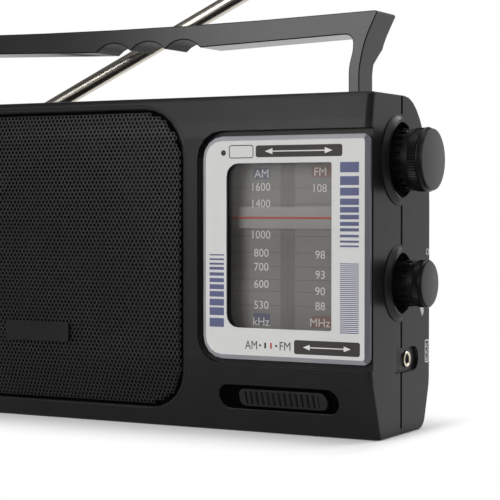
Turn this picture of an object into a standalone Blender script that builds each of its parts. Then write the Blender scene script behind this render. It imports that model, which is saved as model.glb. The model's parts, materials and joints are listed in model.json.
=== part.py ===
"""Portable two-band radio with a pull-up handle, side knobs and a telescopic antenna.

Metres, +Z up, +X to the right of the dial, +Y to the back. The origin is the centre of the flat underside.
"""

import bmesh
import bpy
from math import asin, atan2, cos, hypot, pi, radians, sin, sqrt

# Case
CASE_WIDTH = 0.210
CASE_HEIGHT = 0.130
CASE_DEPTH = 0.0565
FRONT_SETBACK = 0.0274  # origin to the front plane
FRONT_SHELL_DEPTH = 0.0286  # front plane to the parting plane
WALL = 0.0026
FRONT_WALL = 0.0045
SEAM = 0.0003
END_RADIUS = 0.0024  # rounding of the front's upright corners
END_EASE = 0.0005  # easing of the other edges of the ends
CHIN_HEIGHT = 0.0245
CHIN_SETBACK = 0.0088
BROW_DROP = 0.013
BROW_SETBACK = 0.0024
SHOULDER_START = 0.0034  # parting plane to the start of the rounded shoulder
SHOULDER_DROP = 0.042
SKIRT_HEIGHT = 0.018
SKIRT_SETBACK = 0.0056
TOE_RUN = 0.0012  # run of a rounding to either side of its corner
HEEL_RUN = 0.0045
SKIRT_RUN = 0.003
CREST_RUN = 0.0016
BROW_RUN = 0.003
CHIN_RUN = 0.004
LEAST_RUN = 0.0004
SEAM_GROOVE = 0.0016
SEAM_GROOVE_DEPTH = 0.001
CLEARANCE = 0.0003  # between pieces that sit in or on one another

# Speaker grille and its plate
GRILLE_LEFT_GAP = 0.0118  # case's side to the grille
GRILLE_RIGHT_GAP = 0.0084  # grille to the bezel
GRILLE_TOP_GAP = 0.0041  # grille to the case's top
GRILLE_BOTTOM = 0.0075
GRILLE_CORNER = 0.0195
GRILLE_SINK = 0.0008  # front plane to the sheet's face
GRILLE_SHEET = 0.0007
BADGE_WIDTH = 0.0312
BADGE_HEIGHT = 0.0079
BADGE_THICKNESS = 0.001
BADGE_SHIFT = 0.0106  # grille's middle to the plate's middle
BADGE_RISE = 0.0291  # grille's lower edge to the plate's middle

# Dial bezel, window and scale
BEZEL_WIDTH = 0.071
BEZEL_RIGHT_GAP = 0.0004  # bezel to the plane of the case's side
BEZEL_BOTTOM = 0.0289
BEZEL_TOP_GAP = 0.0157  # bezel to the case's top
BEZEL_CORNER = 0.0085
BEZEL_THICKNESS = 0.0026
BEZEL_CHAMFER = 0.0018
BEZEL_CHAMFER_DEPTH = 0.0012
GROOVE_WIDTH = 0.0021
BORDER_LEFT = 0.0109  # bezel's edge to the window
BORDER_RIGHT = 0.0153
BORDER_BOTTOM = 0.0122
BORDER_TOP = 0.0104
WINDOW_CORNER = 0.005
WINDOW_LIP = 0.0008  # thickness of the bezel in front of the lens
LENS_LAP = 0.002  # lens behind the bezel round the window
WINDOW_RELIEF = 0.0005  # cabinet's opening past the window
SQUARE_CORNER = 0.0008
DIAL_GAP = 0.0045  # cabinet's inner face to the dial plate
DIAL_PLATE = 0.0012
DIAL_PAST_LEFT = 0.0065  # dial plate past the window
DIAL_PAST_RIGHT = 0.0028
DIAL_PAST_ENDS = 0.005
DIAL_POST_RADIUS = 0.0015
POINTER_LIP = 0.0026
POINTER_HEIGHT = 0.0082
POINTER_THICKNESS = 0.0014
POINTER_DROP = 0.0208  # window's top to the pointer at rest

# Dial cord drive
DRUM_RADIUS = 0.0142  # to the cord's centre line
CORD_RADIUS = 0.0004
CORD_GAP = 0.0002
WHEEL_WIDTH = 0.0032
WHEEL_FLANGE = 0.0012  # rim above the cord's centre line
PULLEY_RADIUS = 0.0026
PULLEY_PIN = 0.001
PULLEY_POST = 0.0025
LOWER_PULLEY_Z = 0.0415
UPPER_PULLEY_DROP = 0.0232  # tuning axis to the upper pulley
WHEEL_GAP = 0.0004

# Knobs
TUNING_DROP = 0.0248  # case's top to the tuning axis
TUNING_RADIUS = 0.0123
TUNING_REACH = 0.0131  # side of the case to the knob's face
TUNING_HEAD = 0.0064
TUNING_NECK = 0.0119
TUNING_WELL = 0.01455
TUNING_SHAFT = 0.002
VOLUME_Z = 0.0582
VOLUME_RADIUS = 0.0092
VOLUME_REACH = 0.0118
VOLUME_HEAD = 0.0062
VOLUME_NECK = 0.0088
VOLUME_WELL = 0.01185
VOLUME_SHAFT = 0.0025
WELL_DEPTH = 0.005
WELL_WALL = 0.0018
COLLAR_HEIGHT = 0.0012
COLLAR_FOOT = 0.0025  # collar's foot beyond the well
COLLAR_RIM = 0.0009  # collar's rim beyond the well
COLLAR_SHIFT = 0.0019  # foot's centre ahead of the axis
KNOB_EDGE = 0.0012
BORE_DEPTH = 0.006  # shaft in knob

# Electronics
SPEAKER_MARGIN = 0.0132  # speaker's rim to the grille's edge
SPEAKER_DEPTH = 0.0195
SPEAKER_SHEET = 0.0012
CONE_MARGIN = 0.0055  # speaker's rim to the cone's edge
CONE_DEPTH = 0.0115
COIL_RADIUS = 0.0084
MAGNET_RADIUS = 0.0225
MAGNET_BAY_GAP = 0.0038  # magnet to the battery bay
BOARD_PAST_DIAL = 0.0095  # dial plate's left edge to the board's
BOARD_RIGHT_GAP = 0.014  # board to the case's side
BOARD_BAY_GAP = 0.0015  # battery bay's lining to the board
BOARD_TOP_GAP = 0.0012  # board to the antenna's trough
BOARD_BACKSET = 0.0105  # parting plane to the board
BOARD_THICKNESS = 0.0016
BOARD_POST_INSET = 0.0045  # board's left edge to its posts
BOARD_POST_LOW = 0.008  # board's lower edge to a post
BOARD_POST_HIGH = 0.016  # board's upper edge to a post
BOARD_POST_RADIUS = 0.003
CAPACITOR_SIZE = 0.020
CAPACITOR_LENGTH = 0.0145
CONTROL_RADIUS = 0.0065
CONTROL_LENGTH = 0.0085
CAN_SIZE = 0.007
CAN_HEIGHT = 0.0115
CAN_INSET = 0.0175  # board's left edge to the cans
CAN_DROP = 0.012  # board's upper edge to the first can
CAN_PITCH = 0.014
FILTER_RADIUS = 0.004
FILTER_HEIGHT = 0.0125
FILTER_INSET = 0.0315
FILTER_RISE = 0.01
ROD_RADIUS = 0.005
ROD_LENGTH = 0.084
ROD_BOARD_GAP = 0.0065  # rod's end to the board
ROD_FORESET = 0.003  # rod's axis to the parting plane
ROD_DROP = 0.0089  # inside of the case's top to the rod's axis
ROD_HOLDER = 0.006
ROD_HOLDER_INSET = 0.012
ROD_COIL_LENGTH = 0.030
ROD_COIL_WALL = 0.0018

# Earphone jack
JACK_BACKSET = 0.007  # parting plane to the jack's axis
JACK_Z = 0.0286
JACK_NOZZLE = 0.003
JACK_BORE = 0.0018
JACK_BODY = 0.008
JACK_BODY_LENGTH = 0.0105
JACK_RECESS = 0.0013
JACK_RECESS_FRONT = 0.0138  # jack axis to the recess's front end
JACK_RECESS_BACK = 0.0094
JACK_RECESS_HEIGHT = 0.0095

# Band switch
SWITCH_SLOT_INSET = 0.0056  # bezel's left edge to the slot
SWITCH_SLOT_LENGTH = 0.0514
SWITCH_SLOT_BOTTOM = 0.0093
SWITCH_SLOT_HEIGHT = 0.0096
SWITCH_SLOT_DEPTH = 0.0014
SLIDER_LENGTH = 0.0377
SLIDER_HEIGHT = 0.0069
SLIDER_RIGHT_GAP = 0.0045  # slider to the slot's right end at rest
SLIDER_PROUD = 0.0008
SLIDER_TRAVEL = 0.0047
SLIDER_NECK_LENGTH = 0.008
SLIDER_NECK_HEIGHT = 0.0034
SLIDER_NECK_REACH = 0.0125  # front plane to the neck's end
SWITCH_BODY_DEPTH = 0.006
SWITCH_BODY_MARGIN = 0.005

# Carry handle
HANDLE_FRONT = 0.0138  # behind the front plane
HANDLE_DEPTH = 0.0173
STEM_DEPTH = 0.0122
STEM_WIDTH = 0.0045
STEM_INSET = 0.011  # case's side to a stem
HANDLE_TIP_INSET = 0.0032  # case's side to the tip of a flared end
HANDLE_RISE = 0.0309  # case's top to the bar's ends
HANDLE_SAG = 0.0017
HANDLE_BAR = 0.0106
HANDLE_UNDER_RISE = 0.0021
HANDLE_BEND_RISE = 0.01  # case's top to where the stems start to lean outwards
HANDLE_FLARE = 0.0026  # lean of the arm's outer face at the bar's underside
HANDLE_NECK_SHIFT = 0.0018  # lean of the arm's inner face
HANDLE_NECK_RISE = 0.0065
HANDLE_TAPER_RISE = 0.0115  # case's top to where the stems start to deepen
HANDLE_TAPER = 0.006
HANDLE_TIP_RUN = 0.002
HANDLE_TIP_FALL = 0.0012
HANDLE_EASE = 0.003
HANDLE_SWEEP = 0.005
HANDLE_NECK_EASE = 0.0015
HANDLE_FILLET = 0.0035
SCALLOP_COUNT = 3
SCALLOP_WIDTH = 0.0164
SCALLOP_RISE = 0.0035
FOOT_HEIGHT = 0.005
FOOT_LEDGE = 0.0026

# Telescopic antenna
ANTENNA_INSET = 0.01  # case's left side to the pivot
ANTENNA_DROP = 0.0093  # case's top to the pivot
ANTENNA_REAR_GAP = 0.0085  # pivot to the case's back
ANTENNA_TILT = radians(24.3)
ANTENNA_SHORTFALL = 0.0355  # widest section's end to as far as the case is wide
ANTENNA_RADIUS = 0.0033
ANTENNA_WALL = 0.0003
ANTENNA_FIT = 0.00025
ANTENNA_SECTIONS = 5
ANTENNA_STEP = 0.0015  # each section past the one round it
ANTENNA_START = 0.009
ANTENNA_SPIGOT = 0.012
TIP_RADIUS = 0.0031
TIP_LENGTH = 0.006
TIP_SHOULDER = 0.85  # share of the tip's radius at its start
TIP_NOSE = 0.6
TIP_EASE = 0.2  # share of the tip's length that eases at either end
LUG_HALF = 0.002
EAR_THICKNESS = 0.0015
EAR_RADIUS = 0.0044
PIVOT_RADIUS = 0.0012
POCKET_BEHIND = 0.0074  # pivot to the pocket's left end
POCKET_AHEAD = 0.0094
POCKET_DROP = 0.0075  # pivot to the pocket's floor
POCKET_WALL = 0.0016
TROUGH_RADIUS = 0.0039

# Battery bay and door
CELL_RADIUS = 0.0071
CELL_LENGTH = 0.050
BAY_INSET = 0.069  # case's left side to the bay's middle
BAY_BOTTOM = 0.0219
BAY_WALL = 0.0016
CONTACT_SHEET = 0.0006
CONTACT_RISE = 0.0021
DOOR_THICKNESS = 0.0025
DOOR_LEDGE = 0.0015
TRUNNION_RADIUS = 0.00055
TRUNNION_LENGTH = 0.0014

# Screws
BOSS_RADIUS = 0.0044
SCREW_RADIUS = 0.0013
SCREW_HEAD = 0.0027
SCREW_HEAD_HEIGHT = 0.002
SCREW_SINK = 0.0014
SCREW_GRIP = 0.008
SCREW_LEFT_INSET = 0.0068
SCREW_RIGHT_INSET = 0.008
SCREW_LOW = 0.011
SCREW_LEFT_DROP = 0.04  # case's top to the upper left screw
SCREW_INNER_GAP = 0.006  # upper inner screw to the board
SCREW_INNER_DROP = 0.022
SCREW_CROWN = 0.8  # share of a head's radius on its outer face
SMALL_SCREW = 0.001
SMALL_HEAD = 0.002
SMALL_HEAD_HEIGHT = 0.0013

# Places that follow from the sizes above
HALF_WIDTH = CASE_WIDTH / 2
FRONT = -FRONT_SETBACK
REAR = FRONT + CASE_DEPTH
PARTING = FRONT + FRONT_SHELL_DEPTH
SHOULDER_DEPTH = REAR - PARTING - SHOULDER_START
INNER_FRONT = FRONT + FRONT_WALL
INNER_SIDE = HALF_WIDTH - WALL
INNER_TOP = CASE_HEIGHT - WALL
WELL_FLOOR = HALF_WIDTH - WELL_DEPTH
WELL_BACK = WELL_FLOOR - WELL_WALL
BEZEL_RIGHT = HALF_WIDTH - BEZEL_RIGHT_GAP
BEZEL_LEFT = BEZEL_RIGHT - BEZEL_WIDTH
BEZEL_TOP = CASE_HEIGHT - BEZEL_TOP_GAP
WINDOW_LEFT = BEZEL_LEFT + BORDER_LEFT
WINDOW_RIGHT = BEZEL_RIGHT - BORDER_RIGHT
WINDOW_BOTTOM = BEZEL_BOTTOM + BORDER_BOTTOM
WINDOW_TOP = BEZEL_TOP - BORDER_TOP
GRILLE_LEFT = GRILLE_LEFT_GAP - HALF_WIDTH
GRILLE_RIGHT = BEZEL_LEFT - GRILLE_RIGHT_GAP
GRILLE_TOP = CASE_HEIGHT - GRILLE_TOP_GAP
GRILLE_CENTRE_X = (GRILLE_LEFT + GRILLE_RIGHT) / 2
GRILLE_CENTRE_Z = (GRILLE_BOTTOM + GRILLE_TOP) / 2
BADGE_X = GRILLE_CENTRE_X - BADGE_SHIFT
BADGE_Z = GRILLE_BOTTOM + BADGE_RISE
TUNING_Z = CASE_HEIGHT - TUNING_DROP
UPPER_PULLEY_Z = TUNING_Z - UPPER_PULLEY_DROP
POINTER_Z = WINDOW_TOP - POINTER_DROP
BEZEL_FLOOR = FRONT + BEZEL_THICKNESS + CLEARANCE
DIAL_FRONT = INNER_FRONT + DIAL_GAP
DIAL_BACK = DIAL_FRONT + DIAL_PLATE
DIAL_LEFT = WINDOW_LEFT - DIAL_PAST_LEFT
DIAL_RIGHT = WINDOW_RIGHT + DIAL_PAST_RIGHT
DIAL_BOTTOM = WINDOW_BOTTOM - DIAL_PAST_ENDS
DIAL_TOP = WINDOW_TOP + DIAL_PAST_ENDS
WHEEL_RIGHT = WELL_BACK - WHEEL_GAP
WHEEL_LEFT = WHEEL_RIGHT - WHEEL_WIDTH
CORD_X = (WHEEL_LEFT + WHEEL_RIGHT) / 2
CORD_FRONT = PARTING - DRUM_RADIUS
LOWER_PULLEY_Y = CORD_FRONT + PULLEY_RADIUS
UPPER_PULLEY_Y = CORD_FRONT + 3 * PULLEY_RADIUS
CONTROL_RIGHT = WHEEL_LEFT - 2 * CLEARANCE
SPEAKER_FRONT = INNER_FRONT + CLEARANCE
SPEAKER_BACK = SPEAKER_FRONT + SPEAKER_DEPTH
SPEAKER_RADIUS = (GRILLE_TOP - GRILLE_BOTTOM) / 2 - SPEAKER_MARGIN
CONE_RADIUS = SPEAKER_RADIUS - CONE_MARGIN
SPEAKER_SCREW_CIRCLE = SPEAKER_RADIUS + SMALL_SCREW + CLEARANCE
JACK_Y = PARTING + JACK_BACKSET
SWITCH_SLOT_LEFT = BEZEL_LEFT + SWITCH_SLOT_INSET
SWITCH_SLOT_RIGHT = SWITCH_SLOT_LEFT + SWITCH_SLOT_LENGTH
SWITCH_SLOT_TOP = SWITCH_SLOT_BOTTOM + SWITCH_SLOT_HEIGHT
SLIDER_RIGHT = SWITCH_SLOT_RIGHT - SLIDER_RIGHT_GAP
SLIDER_LEFT = SLIDER_RIGHT - SLIDER_LENGTH
SLIDER_X = (SLIDER_LEFT + SLIDER_RIGHT) / 2
SLIDER_Z = (SWITCH_SLOT_BOTTOM + SWITCH_SLOT_TOP) / 2
HANDLE_Y = FRONT + HANDLE_FRONT
STEM_OUTER = HALF_WIDTH - STEM_INSET
STEM_INNER = STEM_OUTER - STEM_WIDTH
STEM_BACK = HANDLE_Y + STEM_DEPTH
HANDLE_SPAN = HALF_WIDTH - HANDLE_TIP_INSET
HANDLE_TOP_END = CASE_HEIGHT + HANDLE_RISE
HANDLE_UNDER = HANDLE_TOP_END - HANDLE_BAR
HANDLE_BEND_Z = CASE_HEIGHT + HANDLE_BEND_RISE
HANDLE_TAPER_Z = CASE_HEIGHT + HANDLE_TAPER_RISE
CAPACITOR_RIGHT = STEM_INNER - FOOT_LEDGE - CLEARANCE
ANTENNA_X = ANTENNA_INSET - HALF_WIDTH
ANTENNA_Y = REAR - ANTENNA_REAR_GAP
ANTENNA_Z = CASE_HEIGHT - ANTENNA_DROP
ANTENNA_LENGTH = CASE_WIDTH - ANTENNA_SHORTFALL
POCKET_LEFT = ANTENNA_X - POCKET_BEHIND
POCKET_RIGHT = ANTENNA_X + POCKET_AHEAD
TROUGH_LINING = TROUGH_RADIUS + POCKET_WALL
BAY_X = BAY_INSET - HALF_WIDTH
BAY_HEIGHT = 4 * CELL_RADIUS + 3 * CLEARANCE
BAY_TOP = BAY_BOTTOM + BAY_HEIGHT
BAY_HALF = CELL_LENGTH + CONTACT_RISE + CONTACT_SHEET + 3 * CLEARANCE
DOOR_INNER = REAR - DOOR_THICKNESS
DOOR_BOTTOM = BAY_BOTTOM - DOOR_LEDGE
DOOR_TOP = BAY_TOP + DOOR_LEDGE
DOOR_HALF = BAY_HALF + DOOR_LEDGE
DOOR_AXIS_Y = REAR - DOOR_THICKNESS / 2
DOOR_AXIS_Z = DOOR_BOTTOM + DOOR_THICKNESS / 2
CELL_Y = DOOR_INNER - CLEARANCE - CELL_RADIUS
BAY_FRONT = CELL_Y - CELL_RADIUS - CLEARANCE - BAY_WALL
MAGNET_BACK = BAY_FRONT - MAGNET_BAY_GAP
BAY_RIM = CLEARANCE + BAY_WALL
BOARD_RIGHT = HALF_WIDTH - BOARD_RIGHT_GAP
BOARD_LEFT = DIAL_LEFT - BOARD_PAST_DIAL
BOARD_BOTTOM = DOOR_TOP + BAY_RIM + BOARD_BAY_GAP
BOARD_TOP = ANTENNA_Z - TROUGH_LINING - BOARD_TOP_GAP
BOARD_FRONT = PARTING + BOARD_BACKSET
BOARD_POST_X = BOARD_LEFT + BOARD_POST_INSET
BOARD_POSTS_Z = (BOARD_BOTTOM + BOARD_POST_LOW, BOARD_TOP - BOARD_POST_HIGH)
CAN_X = BOARD_LEFT + CAN_INSET
CANS_Z = (BOARD_TOP - CAN_DROP, BOARD_TOP - CAN_DROP - CAN_PITCH)
FILTER_X = BOARD_LEFT + FILTER_INSET
FILTER_Z = BOARD_BOTTOM + FILTER_RISE
ROD_X = BOARD_LEFT - ROD_BOARD_GAP - ROD_LENGTH / 2
ROD_Y = PARTING - ROD_FORESET
ROD_Z = INNER_TOP - ROD_DROP
SCREW_LEFT_X = SCREW_LEFT_INSET - HALF_WIDTH
SCREW_RIGHT_X = HALF_WIDTH - SCREW_RIGHT_INSET
CASE_SCREWS = (
    (SCREW_LEFT_X, SCREW_LOW),
    (SCREW_RIGHT_X, SCREW_LOW),
    (SCREW_LEFT_X, CASE_HEIGHT - SCREW_LEFT_DROP),
    (BOARD_LEFT - SCREW_INNER_GAP, CASE_HEIGHT - SCREW_INNER_DROP),
)
PAST = 0.004  # how far a cutter runs past what it cuts
AXIS_MARK = 0.01  # drawn size of a joint's empty
ROUND_STEPS = 32
SMALL_STEPS = 16


# Outlines

def ease(last, corner, following):
    """Points round one corner: (u, v, run before it, run after it, steps). With no steps it stays sharp."""
    u, v, before, after, steps = corner
    if steps == 0:
        return [(u, v)]
    back = unit(last[0] - u, last[1] - v)
    ahead = unit(following[0] - u, following[1] - v)
    points = []
    for step in range(steps + 1):
        turn = pi / 2 * step / steps
        along_back = before * (1 - sin(turn))
        along_ahead = after * (1 - cos(turn))
        points.append((u + back[0] * along_back + ahead[0] * along_ahead,
                       v + back[1] * along_back + ahead[1] * along_ahead))
    return points


def rounded_outline(corners):
    """Points round a closed polygon with eased corners."""
    points = []
    for index, corner in enumerate(corners):
        points += ease(corners[index - 1], corner, corners[(index + 1) % len(corners)])
    return points


def eased_path(corners):
    """Points along an open path with eased corners, after its first corner and up to its last."""
    points = []
    for index in range(1, len(corners) - 1):
        points += ease(corners[index - 1], corners[index], corners[index + 1])
    return points


def unit(u, v):
    length = hypot(u, v)
    return u / length, v / length


def round_rect(low_u, high_u, low_v, high_v, left_radius, right_radius, steps=4):
    return rounded_outline([
        (low_u, low_v, left_radius, left_radius, steps),
        (high_u, low_v, right_radius, right_radius, steps),
        (high_u, high_v, right_radius, right_radius, steps),
        (low_u, high_v, left_radius, left_radius, steps),
    ])


def offset_corners(corners, inset):
    """The same polygon with every edge moved inwards, for corners that run anticlockwise."""
    moved = []
    for index, (u, v, before, after, steps) in enumerate(corners):
        last = corners[index - 1]
        following = corners[(index + 1) % len(corners)]
        first = unit(u - last[0], v - last[1])
        second = unit(following[0] - u, following[1] - v)
        share = inset / (1 + first[0] * second[0] + first[1] * second[1])
        moved.append((u - (first[1] + second[1]) * share, v + (first[0] + second[0]) * share,
                      max(before - inset, LEAST_RUN), max(after - inset, LEAST_RUN), steps))
    return moved


def case_outline(inset):
    """Side profile of the case as (y, z), from the toe back along the base and round over the top."""
    corners = [
        (FRONT + CHIN_SETBACK, 0, TOE_RUN, TOE_RUN, 2),
        (REAR - SKIRT_SETBACK, 0, HEEL_RUN, HEEL_RUN, 4),
        (REAR, SKIRT_HEIGHT, SKIRT_RUN, SKIRT_RUN, 2),
        (REAR, CASE_HEIGHT, SHOULDER_DROP, SHOULDER_DEPTH, 10),
        (FRONT + BROW_SETBACK, CASE_HEIGHT, CREST_RUN, CREST_RUN, 3),
        (FRONT, CASE_HEIGHT - BROW_DROP, BROW_RUN, BROW_RUN, 2),
        (FRONT, CHIN_HEIGHT, CHIN_RUN, CHIN_RUN, 3),
    ]
    return rounded_outline(offset_corners(corners, inset))


def front_at(z):
    """Depth of the front surface at a height."""
    chin = max(CHIN_HEIGHT - z, 0) * CHIN_SETBACK / CHIN_HEIGHT
    return FRONT + chin


def rear_at(z):
    """Depth of the back surface at a height."""
    rise = max(z - (CASE_HEIGHT - SHOULDER_DROP), 0) / SHOULDER_DROP
    skirt = max(SKIRT_HEIGHT - z, 0) * SKIRT_SETBACK / SKIRT_HEIGHT
    return REAR - SHOULDER_DEPTH * (1 - sqrt(1 - rise * rise)) - skirt


# Meshes and objects

def clear_scene():
    for obj in list(bpy.data.objects):
        bpy.data.objects.remove(obj)


def finish(name, colour, roughness, metallic=0.0):
    made = bpy.data.materials.new(name)
    made.use_nodes = True
    shader = made.node_tree.nodes["Principled BSDF"]
    shader.inputs["Base Color"].default_value = (*colour, 1)
    shader.inputs["Roughness"].default_value = roughness
    shader.inputs["Metallic"].default_value = metallic
    return made


def solid(name, points, faces, material):
    """A new object. With no material it is a guide that only cuts or joins."""
    mesh = bpy.data.meshes.new(name)
    mesh.from_pydata(points, [], faces)
    work = bmesh.new()
    work.from_mesh(mesh)
    bmesh.ops.recalc_face_normals(work, faces=work.faces)
    work.to_mesh(mesh)
    work.free()
    obj = bpy.data.objects.new(name, mesh)
    bpy.context.scene.collection.objects.link(obj)
    if material is None:
        obj.hide_render = True
        obj.display_type = "WIRE"
    else:
        mesh.materials.append(material)
        mesh.shade_smooth()
        mesh.set_sharp_from_angle(angle=radians(35))
    return obj


def loft(name, rings, material=None):
    """A closed body through rings that have as many points each, with flat ends."""
    count = len(rings[0])
    points = [point for ring in rings for point in ring]
    faces = [tuple(range(count)), tuple(range(len(points) - count, len(points)))]
    for level in range(len(rings) - 1):
        for index in range(count):
            following = (index + 1) % count
            low = level * count
            faces.append((low + index, low + following, low + count + following, low + count + index))
    return solid(name, points, faces, material)


AXES = {"x": (1, 2, 0), "y": (0, 2, 1), "z": (0, 1, 2)}


def in_space(axis, u, v, along):
    """A point from two coordinates across an axis and one along it."""
    point = [0, 0, 0]
    for place, value in zip(AXES[axis], (u, v, along)):
        point[place] = value
    return tuple(point)


def prism(name, axis, outline, low, high, material=None):
    rings = [[in_space(axis, u, v, along) for u, v in outline] for along in (low, high)]
    return loft(name, rings, material)


def block(name, low, high, material=None):
    outline = [(low[0], low[1]), (high[0], low[1]), (high[0], high[1]), (low[0], high[1])]
    return prism(name, "z", outline, low[2], high[2], material)


def circle(centre, radius, steps):
    return [(centre[0] + radius * cos(2 * pi * step / steps), centre[1] + radius * sin(2 * pi * step / steps))
            for step in range(steps)]


def rod(name, axis, centre, radius, low, high, material=None, steps=SMALL_STEPS):
    return prism(name, axis, circle(centre, radius, steps), low, high, material)


def turned(name, axis, centre, profile, material=None, steps=ROUND_STEPS):
    """A body of revolution from (along, radius) points, whose ends are closed with flat discs."""
    rings = []
    for along, radius in profile:
        rings.append([in_space(axis, u, v, along) for u, v in circle(centre, radius, steps)])
    return loft(name, rings, material)


def turned_ring(name, axis, centre, profile, material=None, steps=ROUND_STEPS):
    """A ring of revolution from a closed loop of (along, radius) points."""
    points = []
    for along, radius in profile:
        points += [in_space(axis, u, v, along) for u, v in circle(centre, radius, steps)]
    faces = []
    for level in range(len(profile)):
        above = (level + 1) % len(profile)
        for index in range(steps):
            following = (index + 1) % steps
            faces.append((level * steps + index, level * steps + following,
                          above * steps + following, above * steps + index))
    return solid(name, points, faces, material)


def boolean(target, other, operation):
    change = target.modifiers.new(other.name, "BOOLEAN")
    change.operation = operation
    change.object = other
    return target


def cut(target, other):
    return boolean(target, other, "DIFFERENCE")


def join(target, other):
    return boolean(target, other, "UNION")


def keep_inside(target, other):
    return boolean(target, other, "INTERSECT")


def carry(name, place, *objects):
    """An empty on a joint's axis, which carries the pieces that move on it."""
    empty = bpy.data.objects.new(name, None)
    empty.location = place
    empty.empty_display_size = AXIS_MARK
    bpy.context.scene.collection.objects.link(empty)
    bpy.context.view_layer.update()
    for obj in objects:
        obj.parent = empty
        obj.matrix_parent_inverse = empty.matrix_world.inverted()


# Case shells

def end_ring(x, inset, ease):
    """The case's outline at one station, eased mostly at the front, so that its other end edges stay crisp."""
    share = END_EASE / END_RADIUS
    lean = ease * (1 - share) / FRONT_SHELL_DEPTH
    return [(x, y + max(PARTING - y, 0) * lean, z) for y, z in case_outline(inset + ease * share)]


def case_body(name, inset, material=None, end_radius=0.0, side_inset=None):
    """The case's outer form, drawn in by an inset. Its ends are eased where end_radius is given."""
    half = HALF_WIDTH - (inset if side_inset is None else side_inset)
    eases = [(half, 0.0)]
    if end_radius:
        turns = [pi / 2 * step / 4 for step in range(5)]
        eases = [(half - end_radius * (1 - sin(turn)), end_radius * (1 - cos(turn))) for turn in turns]
    stations = [(-x, ease) for x, ease in reversed(eases)] + eases
    return loft(name, [end_ring(x, inset, ease) for x, ease in stations], material)


def cavity(name):
    """The hollow inside both shells: the case drawn in by its wall and cut off behind the front panel."""
    hollow = case_body(name, WALL)
    panel = block(name + "_panel", (-CASE_WIDTH, FRONT - PAST, -PAST),
                  (CASE_WIDTH, INNER_FRONT, CASE_HEIGHT + PAST))
    return cut(hollow, panel)


def skin_slab(name, outline, outer, inner, material=None):
    """A slab across the front that follows the case's profile between two insets."""
    slab = prism(name, "y", outline, FRONT - PAST, PARTING - PAST, material)
    wide = -PAST
    keep_inside(slab, case_body(name + "_outer", outer, side_inset=wide))
    return cut(slab, case_body(name + "_inner", inner, side_inset=wide))


def skin_cutter(name, outline, depth):
    return skin_slab(name, outline, -PAST / 2, depth)


def knob_wells(shell, name, with_collar):
    """Round cups in the right side for the knob necks, and the raised crescents in front of them."""
    for label, z, radius, shaft in (("tuning", TUNING_Z, TUNING_WELL, TUNING_SHAFT),
                                    ("volume", VOLUME_Z, VOLUME_WELL, VOLUME_SHAFT)):
        centre = (PARTING, z)
        cup_end = HALF_WIDTH - WALL / 2
        join(shell, rod(f"{name}_{label}_cup", "x", centre, radius + WELL_WALL, WELL_BACK, cup_end, None,
                        ROUND_STEPS))
        if with_collar:
            foot = circle((PARTING - COLLAR_SHIFT, z), radius + COLLAR_FOOT, ROUND_STEPS)
            crown = circle(centre, radius + COLLAR_RIM, ROUND_STEPS)
            rings = [[(HALF_WIDTH - WALL / 2, y, up) for y, up in foot],
                     [(HALF_WIDTH, y, up) for y, up in foot],
                     [(HALF_WIDTH + COLLAR_HEIGHT, y, up) for y, up in crown]]
            join(shell, loft(f"{name}_{label}_collar", rings))
        cut(shell, rod(f"{name}_{label}_well", "x", centre, radius, WELL_FLOOR, HALF_WIDTH + PAST, None,
                       ROUND_STEPS))
        cut(shell, rod(f"{name}_{label}_bush", "x", centre, shaft + CLEARANCE,
                       WELL_BACK - PAST, WELL_FLOOR + PAST))


def screw_bosses(shell, name):
    for number, (x, z) in enumerate(CASE_SCREWS, 1):
        low = front_at(z - BOSS_RADIUS) + WALL / 2
        high = rear_at(z) - WALL
        join(shell, rod(f"{name}_boss_{number}", "y", (x, z), BOSS_RADIUS, low, high))
        hole = SCREW_RADIUS + CLEARANCE
        cut(shell, rod(f"{name}_pilot_{number}", "y", (x, z), hole,
                       PARTING - SCREW_GRIP - CLEARANCE, REAR + PAST))


def seam_groove(name):
    """A shallow channel over the top and down both sides, along the line where the shells meet."""
    half = SEAM_GROOVE / 2
    band = block(name + "_seam", (-CASE_WIDTH, PARTING - half, WALL),
                 (CASE_WIDTH, PARTING + half, CASE_HEIGHT + PAST))
    return cut(band, case_body(name + "_seam_floor", SEAM_GROOVE_DEPTH))


def half_shell(name, material, is_front):
    shell = case_body(name, 0, material, END_RADIUS)
    cut(shell, cavity(name + "_hollow"))
    knob_wells(shell, name, is_front)
    screw_bosses(shell, name)
    jack_outline = round_rect(JACK_Y - JACK_RECESS_FRONT, JACK_Y + JACK_RECESS_BACK,
                              JACK_Z - JACK_RECESS_HEIGHT / 2, JACK_Z + JACK_RECESS_HEIGHT / 2,
                              JACK_RECESS_HEIGHT / 5, JACK_RECESS_HEIGHT / 2 - SEAM)
    cut(shell, prism(name + "_jack_recess", "x", jack_outline, HALF_WIDTH - JACK_RECESS, HALF_WIDTH + PAST))
    for side in (-1, 1):
        edges = sorted((side * (STEM_INNER - CLEARANCE), side * (STEM_OUTER + HANDLE_FLARE + 2 * CLEARANCE)))
        cut(shell, block(name + "_handle_slot", (edges[0], HANDLE_Y - CLEARANCE, INNER_TOP - PAST),
                         (edges[1], HANDLE_Y + HANDLE_DEPTH + CLEARANCE, CASE_HEIGHT + PAST)))
    return cut(shell, seam_groove(name))


def keep_half(shell, is_front):
    """Cuts away the other half of the case, leaving the seam's gap."""
    wide = CASE_WIDTH
    tall = 2 * CASE_HEIGHT
    if is_front:
        low, high = PARTING - SEAM / 2, REAR + wide
    else:
        low, high = FRONT - wide, PARTING + SEAM / 2
    return cut(shell, block(shell.name + "_other_half", (-wide, low, -tall), (wide, high, tall)))


def grille_outline(margin):
    corner = GRILLE_CORNER - margin
    return round_rect(GRILLE_LEFT + margin, GRILLE_RIGHT - margin,
                      GRILLE_BOTTOM + margin, GRILLE_TOP - margin, corner, corner, 6)


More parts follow.
